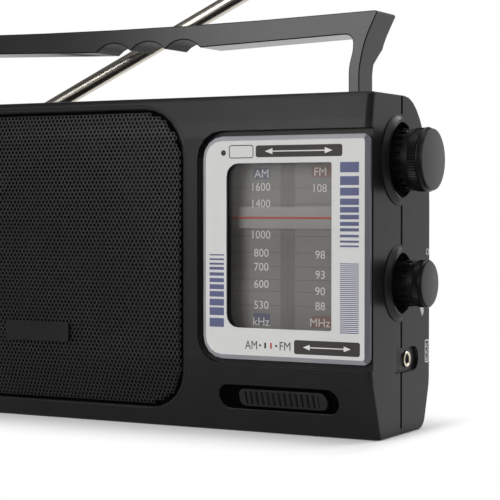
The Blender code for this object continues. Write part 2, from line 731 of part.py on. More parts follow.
def window_outline(margin):
    return round_rect(WINDOW_LEFT + margin, WINDOW_RIGHT - margin,
                      WINDOW_BOTTOM + margin, WINDOW_TOP - margin, WINDOW_CORNER - margin, SQUARE_CORNER)


def slot_outline():
    end = SWITCH_SLOT_HEIGHT / 2 - SEAM
    return round_rect(SWITCH_SLOT_LEFT, SWITCH_SLOT_RIGHT, SWITCH_SLOT_BOTTOM, SWITCH_SLOT_TOP, end, end, 5)


def front_cabinet(material):
    shell = half_shell("front_cabinet", material, True)
    grille_floor = GRILLE_SINK + GRILLE_SHEET + CLEARANCE
    cut(shell, skin_cutter("grille_recess", grille_outline(0), grille_floor))
    speaker_hole = CONE_RADIUS - CLEARANCE
    cut(shell, rod("speaker_hole", "y", (GRILLE_CENTRE_X, GRILLE_CENTRE_Z), speaker_hole,
                   FRONT - PAST, INNER_FRONT + PAST, None, ROUND_STEPS))
    for x, z in speaker_screw_places():
        cut(shell, rod("speaker_pilot", "y", (x, z), SMALL_SCREW + CLEARANCE,
                       INNER_FRONT - SMALL_HEAD, INNER_FRONT + PAST))
    groove = round_rect(BEZEL_LEFT - GROOVE_WIDTH, HALF_WIDTH + PAST, BEZEL_BOTTOM - GROOVE_WIDTH,
                        BEZEL_TOP + GROOVE_WIDTH, BEZEL_CORNER + GROOVE_WIDTH, SQUARE_CORNER)
    cut(shell, prism("bezel_recess", "y", groove, FRONT - PAST, BEZEL_FLOOR))
    cut(shell, prism("window_hole", "y", window_outline(-WINDOW_RELIEF), FRONT, INNER_FRONT + PAST))
    cut(shell, skin_cutter("switch_recess", slot_outline(), SWITCH_SLOT_DEPTH))
    cut(shell, block("switch_slot",
                     (SLIDER_X - SLIDER_NECK_LENGTH / 2 - SLIDER_TRAVEL - CLEARANCE, FRONT - PAST,
                      SLIDER_Z - SLIDER_NECK_HEIGHT / 2 - CLEARANCE),
                     (SLIDER_X + SLIDER_NECK_LENGTH / 2 + CLEARANCE, FRONT + SLIDER_NECK_REACH,
                      SLIDER_Z + SLIDER_NECK_HEIGHT / 2 + CLEARANCE)))
    keep_half(shell, True)
    for z in BOARD_POSTS_Z:
        join(shell, rod("board_post", "y", (BOARD_POST_X, z), BOARD_POST_RADIUS,
                        INNER_FRONT - WALL / 2, BOARD_FRONT - CLEARANCE))
        cut(shell, rod("board_pilot", "y", (BOARD_POST_X, z), SMALL_SCREW + CLEARANCE,
                       BOARD_FRONT - SCREW_GRIP - CLEARANCE, BOARD_FRONT + PAST))
    for y, z in ((LOWER_PULLEY_Y, LOWER_PULLEY_Z), (UPPER_PULLEY_Y, UPPER_PULLEY_Z)):
        post = turned("pulley_post", "x", (y, z),
                      [(INNER_SIDE + WALL / 2, PULLEY_POST), (WHEEL_RIGHT + CLEARANCE, PULLEY_POST),
                       (WHEEL_RIGHT + CLEARANCE, PULLEY_PIN), (WHEEL_LEFT - CLEARANCE, PULLEY_PIN)],
                      None, SMALL_STEPS)
        join(shell, post)
    return shell


def rear_cabinet(material):
    shell = half_shell("rear_cabinet", material, False)
    inside = case_body("rear_inside", CLEARANCE, None, END_RADIUS)
    lining = prism("trough_lining", "x", trough_outline(TROUGH_LINING), POCKET_LEFT,
                   trough_end() + POCKET_WALL)
    join(shell, keep_inside(lining, inside))
    floor = ANTENNA_Z - POCKET_DROP
    front = ANTENNA_Y - LUG_HALF - EAR_THICKNESS - 3 * CLEARANCE
    pocket = block("pocket_lining", (POCKET_LEFT - POCKET_WALL, front - POCKET_WALL, floor - POCKET_WALL),
                   (POCKET_RIGHT + POCKET_WALL, REAR, CASE_HEIGHT))
    join(shell, keep_inside(pocket, inside))
    cut(shell, block("pocket", (POCKET_LEFT, front, floor), (POCKET_RIGHT, REAR + PAST, CASE_HEIGHT + PAST)))
    cut(shell, prism("trough", "x", trough_outline(TROUGH_RADIUS), POCKET_RIGHT - PAST, trough_end()))
    bay_back = REAR - WALL / 2
    join(shell, block("bay_lining", (BAY_X - DOOR_HALF - BAY_RIM, BAY_FRONT, DOOR_BOTTOM - BAY_RIM),
                      (BAY_X + DOOR_HALF + BAY_RIM, bay_back, DOOR_TOP + BAY_RIM)))
    cut(shell, block("bay", (BAY_X - BAY_HALF, BAY_FRONT + BAY_WALL, BAY_BOTTOM),
                     (BAY_X + BAY_HALF, REAR + PAST, BAY_TOP)))
    cut(shell, block("door_opening",
                     (BAY_X - DOOR_HALF - CLEARANCE, DOOR_INNER - CLEARANCE, DOOR_BOTTOM - CLEARANCE),
                     (BAY_X + DOOR_HALF + CLEARANCE, REAR + PAST, DOOR_TOP + CLEARANCE)))
    reach = DOOR_HALF + TRUNNION_LENGTH + CLEARANCE
    cut(shell, rod("trunnion_holes", "x", (DOOR_AXIS_Y, DOOR_AXIS_Z), TRUNNION_RADIUS + CLEARANCE,
                   BAY_X - reach, BAY_X + reach))
    cut(shell, rod("jack_hole", "x", (JACK_Y, JACK_Z), JACK_NOZZLE + CLEARANCE,
                   INNER_SIDE - PAST, HALF_WIDTH + PAST))
    for number, (x, z) in enumerate(CASE_SCREWS, 1):
        seat = rear_at(z) - SCREW_SINK - SCREW_HEAD_HEIGHT
        cut(shell, rod(f"screw_seat_{number}", "y", (x, z), SCREW_HEAD + CLEARANCE, seat, REAR + PAST))
    return keep_half(shell, False)


# Front trim

def speaker_grille(material):
    outline = grille_outline(CLEARANCE)
    return skin_slab("speaker_grille", outline, GRILLE_SINK, GRILLE_SINK + GRILLE_SHEET, material)


def grille_badge(material):
    back = FRONT + GRILLE_SINK - CLEARANCE
    outline = round_rect(BADGE_X - BADGE_WIDTH / 2, BADGE_X + BADGE_WIDTH / 2,
                         BADGE_Z - BADGE_HEIGHT / 2, BADGE_Z + BADGE_HEIGHT / 2,
                         SQUARE_CORNER, SQUARE_CORNER, 2)
    return prism("grille_badge", "y", outline, back - BADGE_THICKNESS, back, material)


def dial_bezel(material):
    rings = []
    for depth, margin in ((0, BEZEL_CHAMFER), (BEZEL_CHAMFER_DEPTH, 0), (BEZEL_THICKNESS, 0)):
        outline = round_rect(BEZEL_LEFT + margin, BEZEL_RIGHT - margin,
                             BEZEL_BOTTOM + margin, BEZEL_TOP - margin,
                             BEZEL_CORNER - margin, SQUARE_CORNER + BEZEL_CHAMFER - margin)
        rings.append([(x, FRONT + depth, z) for x, z in outline])
    plate = loft("dial_bezel", rings, material)
    cut(plate, prism("bezel_window", "y", window_outline(0), FRONT - PAST, FRONT + PAST))
    rebate = window_outline(-LENS_LAP - CLEARANCE)
    return cut(plate, prism("bezel_rebate", "y", rebate, FRONT + WINDOW_LIP, FRONT + PAST))


def dial_lens(material):
    front = FRONT + WINDOW_LIP + CLEARANCE
    return prism("dial_lens", "y", window_outline(-LENS_LAP), front, BEZEL_FLOOR - CLEARANCE, material)


def dial_backplate(material):
    """The scale's plate, on posts that stand on the cabinet above and below the window."""
    plate = block("dial_backplate", (DIAL_LEFT, DIAL_FRONT, DIAL_BOTTOM),
                  (DIAL_RIGHT, DIAL_BACK, DIAL_TOP), material)
    middle = (DIAL_FRONT + DIAL_BACK) / 2
    for x in (WINDOW_LEFT, WINDOW_RIGHT):
        for z in (WINDOW_BOTTOM - DIAL_PAST_ENDS / 2, WINDOW_TOP + DIAL_PAST_ENDS / 2):
            join(plate, rod("dial_post", "y", (x, z), DIAL_POST_RADIUS, INNER_FRONT + CLEARANCE, middle))
    return plate


def dial_pointer(material):
    """A bar across the dial, a slide round the dial plate's edge, and an arm back to the cord."""
    low_z = POINTER_Z - POINTER_HEIGHT / 2
    high_z = POINTER_Z + POINTER_HEIGHT / 2
    bar_front = DIAL_FRONT - CLEARANCE - POINTER_THICKNESS
    bar_left = (DIAL_LEFT + WINDOW_LEFT) / 2
    slide_left = DIAL_RIGHT + CLEARANCE
    slide_right = WHEEL_RIGHT
    lip_left = DIAL_RIGHT - POINTER_LIP
    lip_back = DIAL_BACK + CLEARANCE + POINTER_THICKNESS
    arm_back = CORD_FRONT - CORD_RADIUS - CORD_GAP
    outline = [(bar_left, bar_front), (slide_right, bar_front), (slide_right, arm_back),
               (slide_left, arm_back), (slide_left, lip_back), (lip_left, lip_back),
               (lip_left, DIAL_BACK + CLEARANCE), (slide_left, DIAL_BACK + CLEARANCE),
               (slide_left, DIAL_FRONT - CLEARANCE), (bar_left, DIAL_FRONT - CLEARANCE)]
    return prism("dial_pointer", "z", outline, low_z, high_z, material)


def band_switch_knob(material):
    outline = round_rect(SLIDER_LEFT, SLIDER_RIGHT, SLIDER_Z - SLIDER_HEIGHT / 2, SLIDER_Z + SLIDER_HEIGHT / 2,
                         SQUARE_CORNER, SQUARE_CORNER, 2)
    slider = skin_slab("band_switch_knob", outline, -SLIDER_PROUD, SWITCH_SLOT_DEPTH - CLEARANCE, material)
    start = front_at(SLIDER_Z) + SWITCH_SLOT_DEPTH / 2
    half_length = SLIDER_NECK_LENGTH / 2
    half_height = SLIDER_NECK_HEIGHT / 2
    neck = block("slider_neck", (SLIDER_X - half_length, start, SLIDER_Z - half_height),
                 (SLIDER_X + half_length, FRONT + SLIDER_NECK_REACH, SLIDER_Z + half_height))
    return join(slider, neck)


def band_switch(material):
    half_length = SLIDER_NECK_LENGTH / 2
    half_height = SLIDER_NECK_HEIGHT / 2
    low_z = SLIDER_Z - half_height - SWITCH_BODY_MARGIN
    high_z = SLIDER_Z + half_height + SWITCH_BODY_MARGIN
    front = front_at(low_z) + WALL + 2 * CLEARANCE
    reach = half_length + SWITCH_BODY_MARGIN
    body = block("band_switch", (SLIDER_X - reach - SLIDER_TRAVEL, front, low_z),
                 (SLIDER_X + reach, front + SWITCH_BODY_DEPTH, high_z), material)
    channel = block("switch_channel",
                    (SLIDER_X - half_length - SLIDER_TRAVEL - CLEARANCE, front - PAST,
                     SLIDER_Z - half_height - CLEARANCE),
                    (SLIDER_X + half_length + CLEARANCE, FRONT + SLIDER_NECK_REACH + CLEARANCE,
                     SLIDER_Z + half_height + CLEARANCE))
    return cut(body, channel)


# Knobs and the dial cord drive

def knob(name, z, radius, reach, head, neck, shaft, material):
    face = HALF_WIDTH + reach
    profile = [(WELL_FLOOR + CLEARANCE, neck), (face - head, neck), (face - head, radius),
               (face - KNOB_EDGE, radius), (face - KNOB_EDGE / 4, radius - KNOB_EDGE / 3),
               (face, radius - KNOB_EDGE)]
    made = turned(name, "x", (PARTING, z), profile, material)
    bore_end = face - head + BORE_DEPTH / 2
    return cut(made, rod(name + "_bore", "x", (PARTING, z), shaft + CLEARANCE, WELL_FLOOR - PAST, bore_end))


def shaft(name, z, radius, low, reach, head, material):
    high = HALF_WIDTH + reach - head + BORE_DEPTH / 2 - CLEARANCE
    return rod(name, "x", (PARTING, z), radius, low, high, material)


def grooved_wheel(name, centre, cord_radius, bore, material, steps):
    """A wheel whose groove carries the cord at cord_radius."""
    groove = cord_radius - CORD_RADIUS - CORD_GAP
    rim = cord_radius + WHEEL_FLANGE
    half = CORD_RADIUS + CORD_GAP
    profile = [(WHEEL_LEFT, bore), (WHEEL_LEFT, rim), (CORD_X - half, rim), (CORD_X - half, groove),
               (CORD_X + half, groove), (CORD_X + half, rim), (WHEEL_RIGHT, rim), (WHEEL_RIGHT, bore)]
    return turned_ring(name, "x", centre, profile, material, steps)


def arc(centre, radius, start, end, steps):
    return [(centre[0] + radius * cos(start + (end - start) * step / steps),
             centre[1] + radius * sin(start + (end - start) * step / steps)) for step in range(steps + 1)]


def cord_route():
    """The loop in (y, z): over the drum, down the front, round the lower pulley and past the upper one."""
    drum = (PARTING, TUNING_Z)
    lower = (LOWER_PULLEY_Y, LOWER_PULLEY_Z)
    upper = (UPPER_PULLEY_Y, UPPER_PULLEY_Z)
    apart = hypot(drum[0] - upper[0], drum[1] - upper[1])
    heading = atan2(drum[1] - upper[1], drum[0] - upper[0])
    lean = asin((DRUM_RADIUS + PULLEY_RADIUS) / apart)
    contact = heading + pi / 2 - lean
    route = arc(drum, DRUM_RADIUS, contact - pi, pi, 24)
    route += arc(lower, PULLEY_RADIUS, pi, 2 * pi, 8)
    route += arc(upper, PULLEY_RADIUS, pi, contact, 4)
    return route


def dial_cord(material):
    """One closed loop of round cord."""
    curve = bpy.data.curves.new("dial_cord", "CURVE")
    curve.dimensions = "3D"
    curve.bevel_depth = CORD_RADIUS
    curve.bevel_resolution = 1
    route = cord_route()
    spline = curve.splines.new("POLY")
    spline.points.add(len(route) - 1)
    for point, (y, z) in zip(spline.points, route):
        point.co = (CORD_X, y, z, 1)
    spline.use_cyclic_u = True
    curve.materials.append(material)
    obj = bpy.data.objects.new("dial_cord", curve)
    bpy.context.scene.collection.objects.link(obj)
    return obj


# Loudspeaker and electronics

def speaker_screw_places():
    reach = SPEAKER_SCREW_CIRCLE * cos(pi / 4)
    return [(GRILLE_CENTRE_X + x * reach, GRILLE_CENTRE_Z + z * reach) for x in (-1, 1) for z in (-1, 1)]


def small_screw(name, x, z, seat, length, material):
    """A pan-head screw driven in from behind, with its head on a seat."""
    profile = [(seat - length, SMALL_SCREW), (seat, SMALL_SCREW), (seat, SMALL_HEAD),
               (seat + SMALL_HEAD_HEIGHT, SMALL_HEAD * SCREW_CROWN)]
    return turned(name, "y", (x, z), profile, material, SMALL_STEPS)


def loudspeaker(steel, paper, magnet):
    centre = (GRILLE_CENTRE_X, GRILLE_CENTRE_Z)
    front = SPEAKER_FRONT
    back = SPEAKER_BACK
    sheet = SPEAKER_SHEET
    hub = MAGNET_RADIUS - sheet
    turned_ring("speaker_basket", "y", centre, [
        (front, CONE_RADIUS), (front, SPEAKER_RADIUS), (front + sheet, SPEAKER_RADIUS),
        (front + sheet, CONE_RADIUS + sheet), (front + 3 * sheet, CONE_RADIUS + sheet), (back - sheet, hub),
        (back, hub), (back, COIL_RADIUS + sheet), (back - sheet, COIL_RADIUS + sheet),
        (back - sheet, hub - sheet), (front + 3 * sheet, CONE_RADIUS)], steel)
    rim = CONE_RADIUS - CLEARANCE
    apex = front + CONE_DEPTH
    turned("speaker_cone", "y", centre, [
        (apex - sheet, sheet / 2), (apex - sheet / 2, COIL_RADIUS / 2), (apex, COIL_RADIUS + sheet),
        (front + sheet / 2, rim - 2 * sheet), (front + CLEARANCE, rim - sheet), (front + CLEARANCE, rim),
        (front + sheet, rim), (apex + sheet, COIL_RADIUS + sheet), (back - CLEARANCE, COIL_RADIUS)], paper)
    rod("speaker_magnet", "y", centre, MAGNET_RADIUS, back + CLEARANCE, MAGNET_BACK, magnet, ROUND_STEPS)
    for number, (x, z) in enumerate(speaker_screw_places(), 1):
        grip = front + sheet + CLEARANCE - INNER_FRONT + SMALL_HEAD - 2 * CLEARANCE
        small_screw(f"speaker_screw_{number}", x, z, front + sheet + CLEARANCE, grip, steel)


def main_board(board, tin, sleeve, steel):
    low = (BOARD_LEFT, BOARD_FRONT, BOARD_BOTTOM)
    high = (BOARD_RIGHT, BOARD_FRONT + BOARD_THICKNESS, BOARD_TOP)
    plate = block("main_board", low, high, board)
    seat = BOARD_FRONT + BOARD_THICKNESS + CLEARANCE
    for number, z in enumerate(BOARD_POSTS_Z, 1):
        cut(plate, rod("board_hole", "y", (BOARD_POST_X, z), SMALL_SCREW + CLEARANCE,
                       BOARD_FRONT - PAST, seat + PAST))
        small_screw(f"board_screw_{number}", BOARD_POST_X, z, seat, SCREW_GRIP, steel)
    on_board = BOARD_FRONT - CLEARANCE
    half = CAN_SIZE / 2
    for number, z in enumerate(CANS_Z, 1):
        block(f"tuned_coil_can_{number}", (CAN_X - half, on_board - CAN_HEIGHT, z - half),
              (CAN_X + half, on_board, z + half), tin)
    rod("filter_capacitor", "y", (FILTER_X, FILTER_Z), FILTER_RADIUS,
        on_board - FILTER_HEIGHT, on_board, sleeve)


def tuning_capacitor(material):
    half = CAPACITOR_SIZE / 2
    body = block("tuning_capacitor", (CAPACITOR_RIGHT - CAPACITOR_LENGTH, PARTING - half, TUNING_Z - half),
                 (CAPACITOR_RIGHT, BOARD_FRONT - CLEARANCE, TUNING_Z + half), material)
    return cut(body, rod("capacitor_bore", "x", (PARTING, TUNING_Z), TUNING_SHAFT + CLEARANCE,
                         CAPACITOR_RIGHT - BORE_DEPTH, CAPACITOR_RIGHT + PAST))


def volume_control(material):
    left = CONTROL_RIGHT - CONTROL_LENGTH
    body = rod("volume_control", "x", (PARTING, VOLUME_Z), CONTROL_RADIUS, left, CONTROL_RIGHT, material)
    join(body, block("control_leg", (left + CLEARANCE, PARTING, VOLUME_Z - CONTROL_RADIUS / 2),
                     (BOARD_RIGHT, BOARD_FRONT - CLEARANCE, VOLUME_Z + CONTROL_RADIUS / 2)))
    return cut(body, rod("control_bore", "x", (PARTING, VOLUME_Z), VOLUME_SHAFT + CLEARANCE,
                         CONTROL_RIGHT - BORE_DEPTH, CONTROL_RIGHT + PAST))


def earphone_jack(material):
    high = INNER_SIDE - CLEARANCE
    half = JACK_BODY / 2
    body = block("earphone_jack", (high - JACK_BODY_LENGTH, JACK_Y - half, JACK_Z - half),
                 (high, JACK_Y + half, JACK_Z + half), material)
    nozzle_end = HALF_WIDTH - JACK_RECESS / 2
    join(body, rod("jack_nozzle", "x", (JACK_Y, JACK_Z), JACK_NOZZLE, high - CLEARANCE, nozzle_end))
    return cut(body, rod("jack_bore", "x", (JACK_Y, JACK_Z), JACK_BORE,
                         high - JACK_BODY_LENGTH + JACK_BORE, nozzle_end + PAST))


def ferrite_antenna(ferrite, wire, plastic):
    x, y, z = ROD_X, ROD_Y, ROD_Z
    half = ROD_LENGTH / 2
    rod("ferrite_rod", "x", (y, z), ROD_RADIUS, x - half, x + half, ferrite)
    bore = ROD_RADIUS + CLEARANCE
    coil = [(x - ROD_COIL_LENGTH / 2, bore), (x - ROD_COIL_LENGTH / 2, bore + ROD_COIL_WALL),
            (x + ROD_COIL_LENGTH / 2, bore + ROD_COIL_WALL), (x + ROD_COIL_LENGTH / 2, bore)]
    turned_ring("ferrite_coil", "x", (y, z), coil, wire, SMALL_STEPS)
    for name, side in (("left", -1), ("right", 1)):
        middle = x + side * (half - ROD_HOLDER_INSET)
        low = (middle - ROD_HOLDER / 2, y - ROD_RADIUS / 2, z)
        high = (middle + ROD_HOLDER / 2, y + ROD_RADIUS / 2, INNER_TOP - 2 * CLEARANCE)
        holder = block(f"ferrite_holder_{name}", low, high, plastic)
        join(holder, rod(f"holder_ring_{name}", "x", (y, z), bore + ROD_COIL_WALL, low[0], high[0]))
        cut(holder, rod(f"holder_bore_{name}", "x", (y, z), bore, low[0] - PAST, high[0] + PAST))


# Battery

def battery(jacket, spring, plastic):
    rows = (BAY_BOTTOM + CLEARANCE + CELL_RADIUS, BAY_TOP - CLEARANCE - CELL_RADIUS)
    number = 0
    for z in rows:
        for side in (-1, 1):
            number += 1
            ends = sorted((BAY_X + side * CLEARANCE, BAY_X + side * (CLEARANCE + CELL_LENGTH)))
            rod(f"battery_cell_{number}", "x", (CELL_Y, z), CELL_RADIUS, ends[0], ends[1], jacket)
    for name, side in (("left", -1), ("right", 1)):
        outer = BAY_HALF - CLEARANCE
        inner = outer - CONTACT_SHEET
        ends = sorted((BAY_X + side * outer, BAY_X + side * inner))
        plate = block(f"battery_contact_{name}",
                      (ends[0], BAY_FRONT + BAY_WALL + CLEARANCE, rows[0] - CELL_RADIUS / 2),
                      (ends[1], CELL_Y + CELL_RADIUS / 2, rows[1] + CELL_RADIUS / 2), spring)
        for z in rows:
            tip = BAY_X + side * (CLEARANCE + CELL_LENGTH + CLEARANCE)
            root = BAY_X + side * (inner + CONTACT_SHEET / 2)
            profile = sorted(((tip, CELL_RADIUS / 4), (root, CELL_RADIUS / 2)))
            join(plate, turned(f"contact_dome_{name}", "x", (CELL_Y, z), profile, None, SMALL_STEPS))
    half_thick = DOOR_THICKNESS / 2
    foot = arc((DOOR_AXIS_Y, DOOR_AXIS_Z), half_thick, pi, 2 * pi, 6)
    outline = foot + [(REAR, DOOR_TOP), (DOOR_INNER, DOOR_TOP)]
    door = prism("battery_door", "x", outline, BAY_X - DOOR_HALF, BAY_X + DOOR_HALF, plastic)
    reach = DOOR_HALF + TRUNNION_LENGTH
    join(door, rod("door_trunnions", "x", (DOOR_AXIS_Y, DOOR_AXIS_Z), TRUNNION_RADIUS,
                   BAY_X - reach, BAY_X + reach))
    carry("battery_door_axis", (BAY_X, DOOR_AXIS_Y, DOOR_AXIS_Z), door)


# Carry handle

def handle_outline():
    """The handle from the front: half its top, right arm and foot, finger scallops, then the left side."""
    top_middle = HANDLE_TOP_END - HANDLE_SAG
    top = [(HANDLE_SPAN * step / 6, top_middle + HANDLE_SAG * (step / 6) ** 2) for step in range(6)]
    scallop_end = SCALLOP_COUNT * SCALLOP_WIDTH / 2
    foot_top = INNER_TOP - CLEARANCE
    foot_low = foot_top - FOOT_HEIGHT
    foot_inner = STEM_INNER - FOOT_LEDGE
    neck_x = STEM_INNER + HANDLE_NECK_SHIFT
    arm = eased_path([
        (*top[-1], 0, 0, 0),
        (HANDLE_SPAN, HANDLE_TOP_END, HANDLE_TIP_RUN, HANDLE_TIP_FALL, 3),
        (STEM_OUTER + HANDLE_FLARE, HANDLE_UNDER, HANDLE_EASE, HANDLE_EASE, 3),
        (STEM_OUTER, HANDLE_BEND_Z, HANDLE_SWEEP, HANDLE_EASE, 4),
        (STEM_OUTER, foot_low, 0, 0, 0),
        (foot_inner, foot_low, 0, 0, 0),
        (foot_inner, foot_top, 0, 0, 0),
        (STEM_INNER, foot_top, 0, 0, 0),
        (STEM_INNER, HANDLE_BEND_Z, HANDLE_TIP_RUN, HANDLE_TIP_RUN, 2),
        (neck_x, HANDLE_BEND_Z + HANDLE_NECK_RISE, HANDLE_NECK_EASE, HANDLE_NECK_EASE, 2),
        (neck_x, HANDLE_UNDER + HANDLE_UNDER_RISE, HANDLE_EASE, HANDLE_FILLET, 4),
        (scallop_end, HANDLE_UNDER, 0, 0, 0),
    ])
    right = top + arm
    left = [(-x, z) for x, z in reversed(right[1:])]
    return right + finger_scallops(scallop_end) + left


def finger_scallops(start):
    """Arcs along the bar's underside from right to left, as (x, z)."""
    radius = (SCALLOP_WIDTH ** 2 / 4 + SCALLOP_RISE ** 2) / (2 * SCALLOP_RISE)
    lean = asin(SCALLOP_WIDTH / 2 / radius)
    points = []
    for number in range(SCALLOP_COUNT):
        centre = (start - (number + 0.5) * SCALLOP_WIDTH, HANDLE_UNDER + SCALLOP_RISE - radius)
        points += arc(centre, radius, pi / 2 - lean, pi / 2 + lean, 6)[:-1]
    return points + [(-start, HANDLE_UNDER)]


def carry_handle(material):
    grip = prism("carry_handle", "y", handle_outline(), HANDLE_Y, HANDLE_Y + HANDLE_DEPTH, material)
    back = HANDLE_Y + HANDLE_DEPTH + PAST
    taper_top = HANDLE_TAPER_Z + HANDLE_TAPER
    outline = [(STEM_BACK, 0), (STEM_BACK, HANDLE_TAPER_Z), (back - PAST, taper_top), (back, taper_top),
               (back, 0)]
    cut(grip, prism("stem_relief", "x", outline, -CASE_WIDTH, CASE_WIDTH))
    carry("carry_handle_slide", (0, HANDLE_Y + STEM_DEPTH / 2, CASE_HEIGHT), grip)


# Telescopic antenna

def trough_outline(radius):
    """A round-bottomed channel that is open at the top, as (y, z)."""
    top = CASE_HEIGHT + PAST
    bottom = arc((ANTENNA_Y, ANTENNA_Z), radius, pi, 2 * pi, 8)
    return bottom + [(ANTENNA_Y + radius, top), (ANTENNA_Y - radius, top)]


def trough_end():
    return ANTENNA_X + section_end(ANTENNA_SECTIONS) + TIP_LENGTH + 3 * CLEARANCE


def tilted(obj):
    """Turns a piece made along +X from the pivot up to the antenna's resting tilt."""
    obj.location = (ANTENNA_X, ANTENNA_Y, ANTENNA_Z)
    obj.rotation_euler = (0, -ANTENNA_TILT, 0)
    return obj


def antenna_mount(chrome, black):
    """A forked bracket in the case's pocket and the pivot through its ears."""
    gap = LUG_HALF + CLEARANCE
    span = gap + EAR_THICKNESS
    floor = ANTENNA_Z - POCKET_DROP + CLEARANCE
    base_top = floor + EAR_THICKNESS
    top = ANTENNA_Z + EAR_RADIUS
    outline = [(ANTENNA_Y - span, floor), (ANTENNA_Y + span, floor), (ANTENNA_Y + span, top),
               (ANTENNA_Y + gap, top), (ANTENNA_Y + gap, base_top), (ANTENNA_Y - gap, base_top),
               (ANTENNA_Y - gap, top), (ANTENNA_Y - span, top)]
    mount = prism("antenna_mount", "x", outline, ANTENNA_X - EAR_RADIUS, ANTENNA_X + EAR_RADIUS, black)
    cut(mount, rod("mount_hole", "y", (ANTENNA_X, ANTENNA_Z), PIVOT_RADIUS + CLEARANCE, 0, REAR + PAST))
    head = PIVOT_RADIUS * 2
    head_seat = ANTENNA_Y + span + CLEARANCE
    turned("antenna_pivot", "y", (ANTENNA_X, ANTENNA_Z),
           [(ANTENNA_Y - span, PIVOT_RADIUS), (head_seat, PIVOT_RADIUS), (head_seat, head),
            (head_seat + EAR_THICKNESS, head * SCREW_CROWN)], chrome, SMALL_STEPS)


def antenna_base(chrome):
    """The knuckle: a flat lug on the pivot with a round spigot inside the first section."""
    lug_end = ANTENNA_START - CLEARANCE
    outline = arc((0, 0), ANTENNA_RADIUS, pi / 2, 3 * pi / 2, 8)
    outline += [(lug_end, -ANTENNA_RADIUS), (lug_end, ANTENNA_RADIUS)]
    lug = prism("antenna_base", "y", outline, -LUG_HALF, LUG_HALF, chrome)
    cut(lug, tilted(rod("lug_hole", "y", (0, 0), PIVOT_RADIUS + CLEARANCE, -PAST, PAST)))
    spigot_end = ANTENNA_START + ANTENNA_SPIGOT
    join(lug, tilted(rod("lug_spigot", "x", (0, 0), LUG_HALF, lug_end - CLEARANCE, spigot_end)))
    tilted(lug)


def antenna_sections(chrome):
    """Nested tubes, the last of them a rod with a tip on its end."""
    radius = ANTENNA_RADIUS
    for number in range(1, ANTENNA_SECTIONS):
        bore = radius - ANTENNA_WALL
        start = ANTENNA_START if number == 1 else nested_start(number)
        end = section_end(number)
        tilted(turned_ring(f"antenna_section_{number}", "x", (0, 0),
                           [(start, bore), (start, radius), (end, radius), (end, bore)], chrome, SMALL_STEPS))
        radius = bore - ANTENNA_FIT
    end = section_end(ANTENNA_SECTIONS)
    rod_end = end + TIP_LENGTH / 2
    start = nested_start(ANTENNA_SECTIONS)
    tilted(rod(f"antenna_section_{ANTENNA_SECTIONS}", "x", (0, 0), radius, start, rod_end, chrome))
    tip_start = end + CLEARANCE
    tip = turned("antenna_tip", "x", (0, 0), [
        (tip_start, TIP_RADIUS * TIP_SHOULDER), (tip_start + TIP_LENGTH * TIP_EASE, TIP_RADIUS),
        (tip_start + TIP_LENGTH * (1 - TIP_EASE), TIP_RADIUS),
        (tip_start + TIP_LENGTH, TIP_RADIUS * TIP_NOSE)],
        chrome, SMALL_STEPS)
    cut(tip, tilted(rod("tip_bore", "x", (0, 0), radius + CLEARANCE, tip_start - PAST, rod_end + CLEARANCE)))
    tilted(tip)


def nested_start(number):
    return ANTENNA_START + ANTENNA_SPIGOT + number * ANTENNA_STEP


def section_end(number):
    return ANTENNA_LENGTH + (number - 1) * ANTENNA_STEP


# Fasteners

def case_screws(steel):
    for number, (x, z) in enumerate(CASE_SCREWS, 1):
        seat = rear_at(z) - SCREW_SINK - SCREW_HEAD_HEIGHT + CLEARANCE
        profile = [(PARTING - SCREW_GRIP, SCREW_RADIUS), (seat, SCREW_RADIUS), (seat, SCREW_HEAD),
                   (seat + SCREW_HEAD_HEIGHT, SCREW_HEAD * SCREW_CROWN)]
        turned(f"case_screw_{number}", "y", (x, z), profile, steel, SMALL_STEPS)


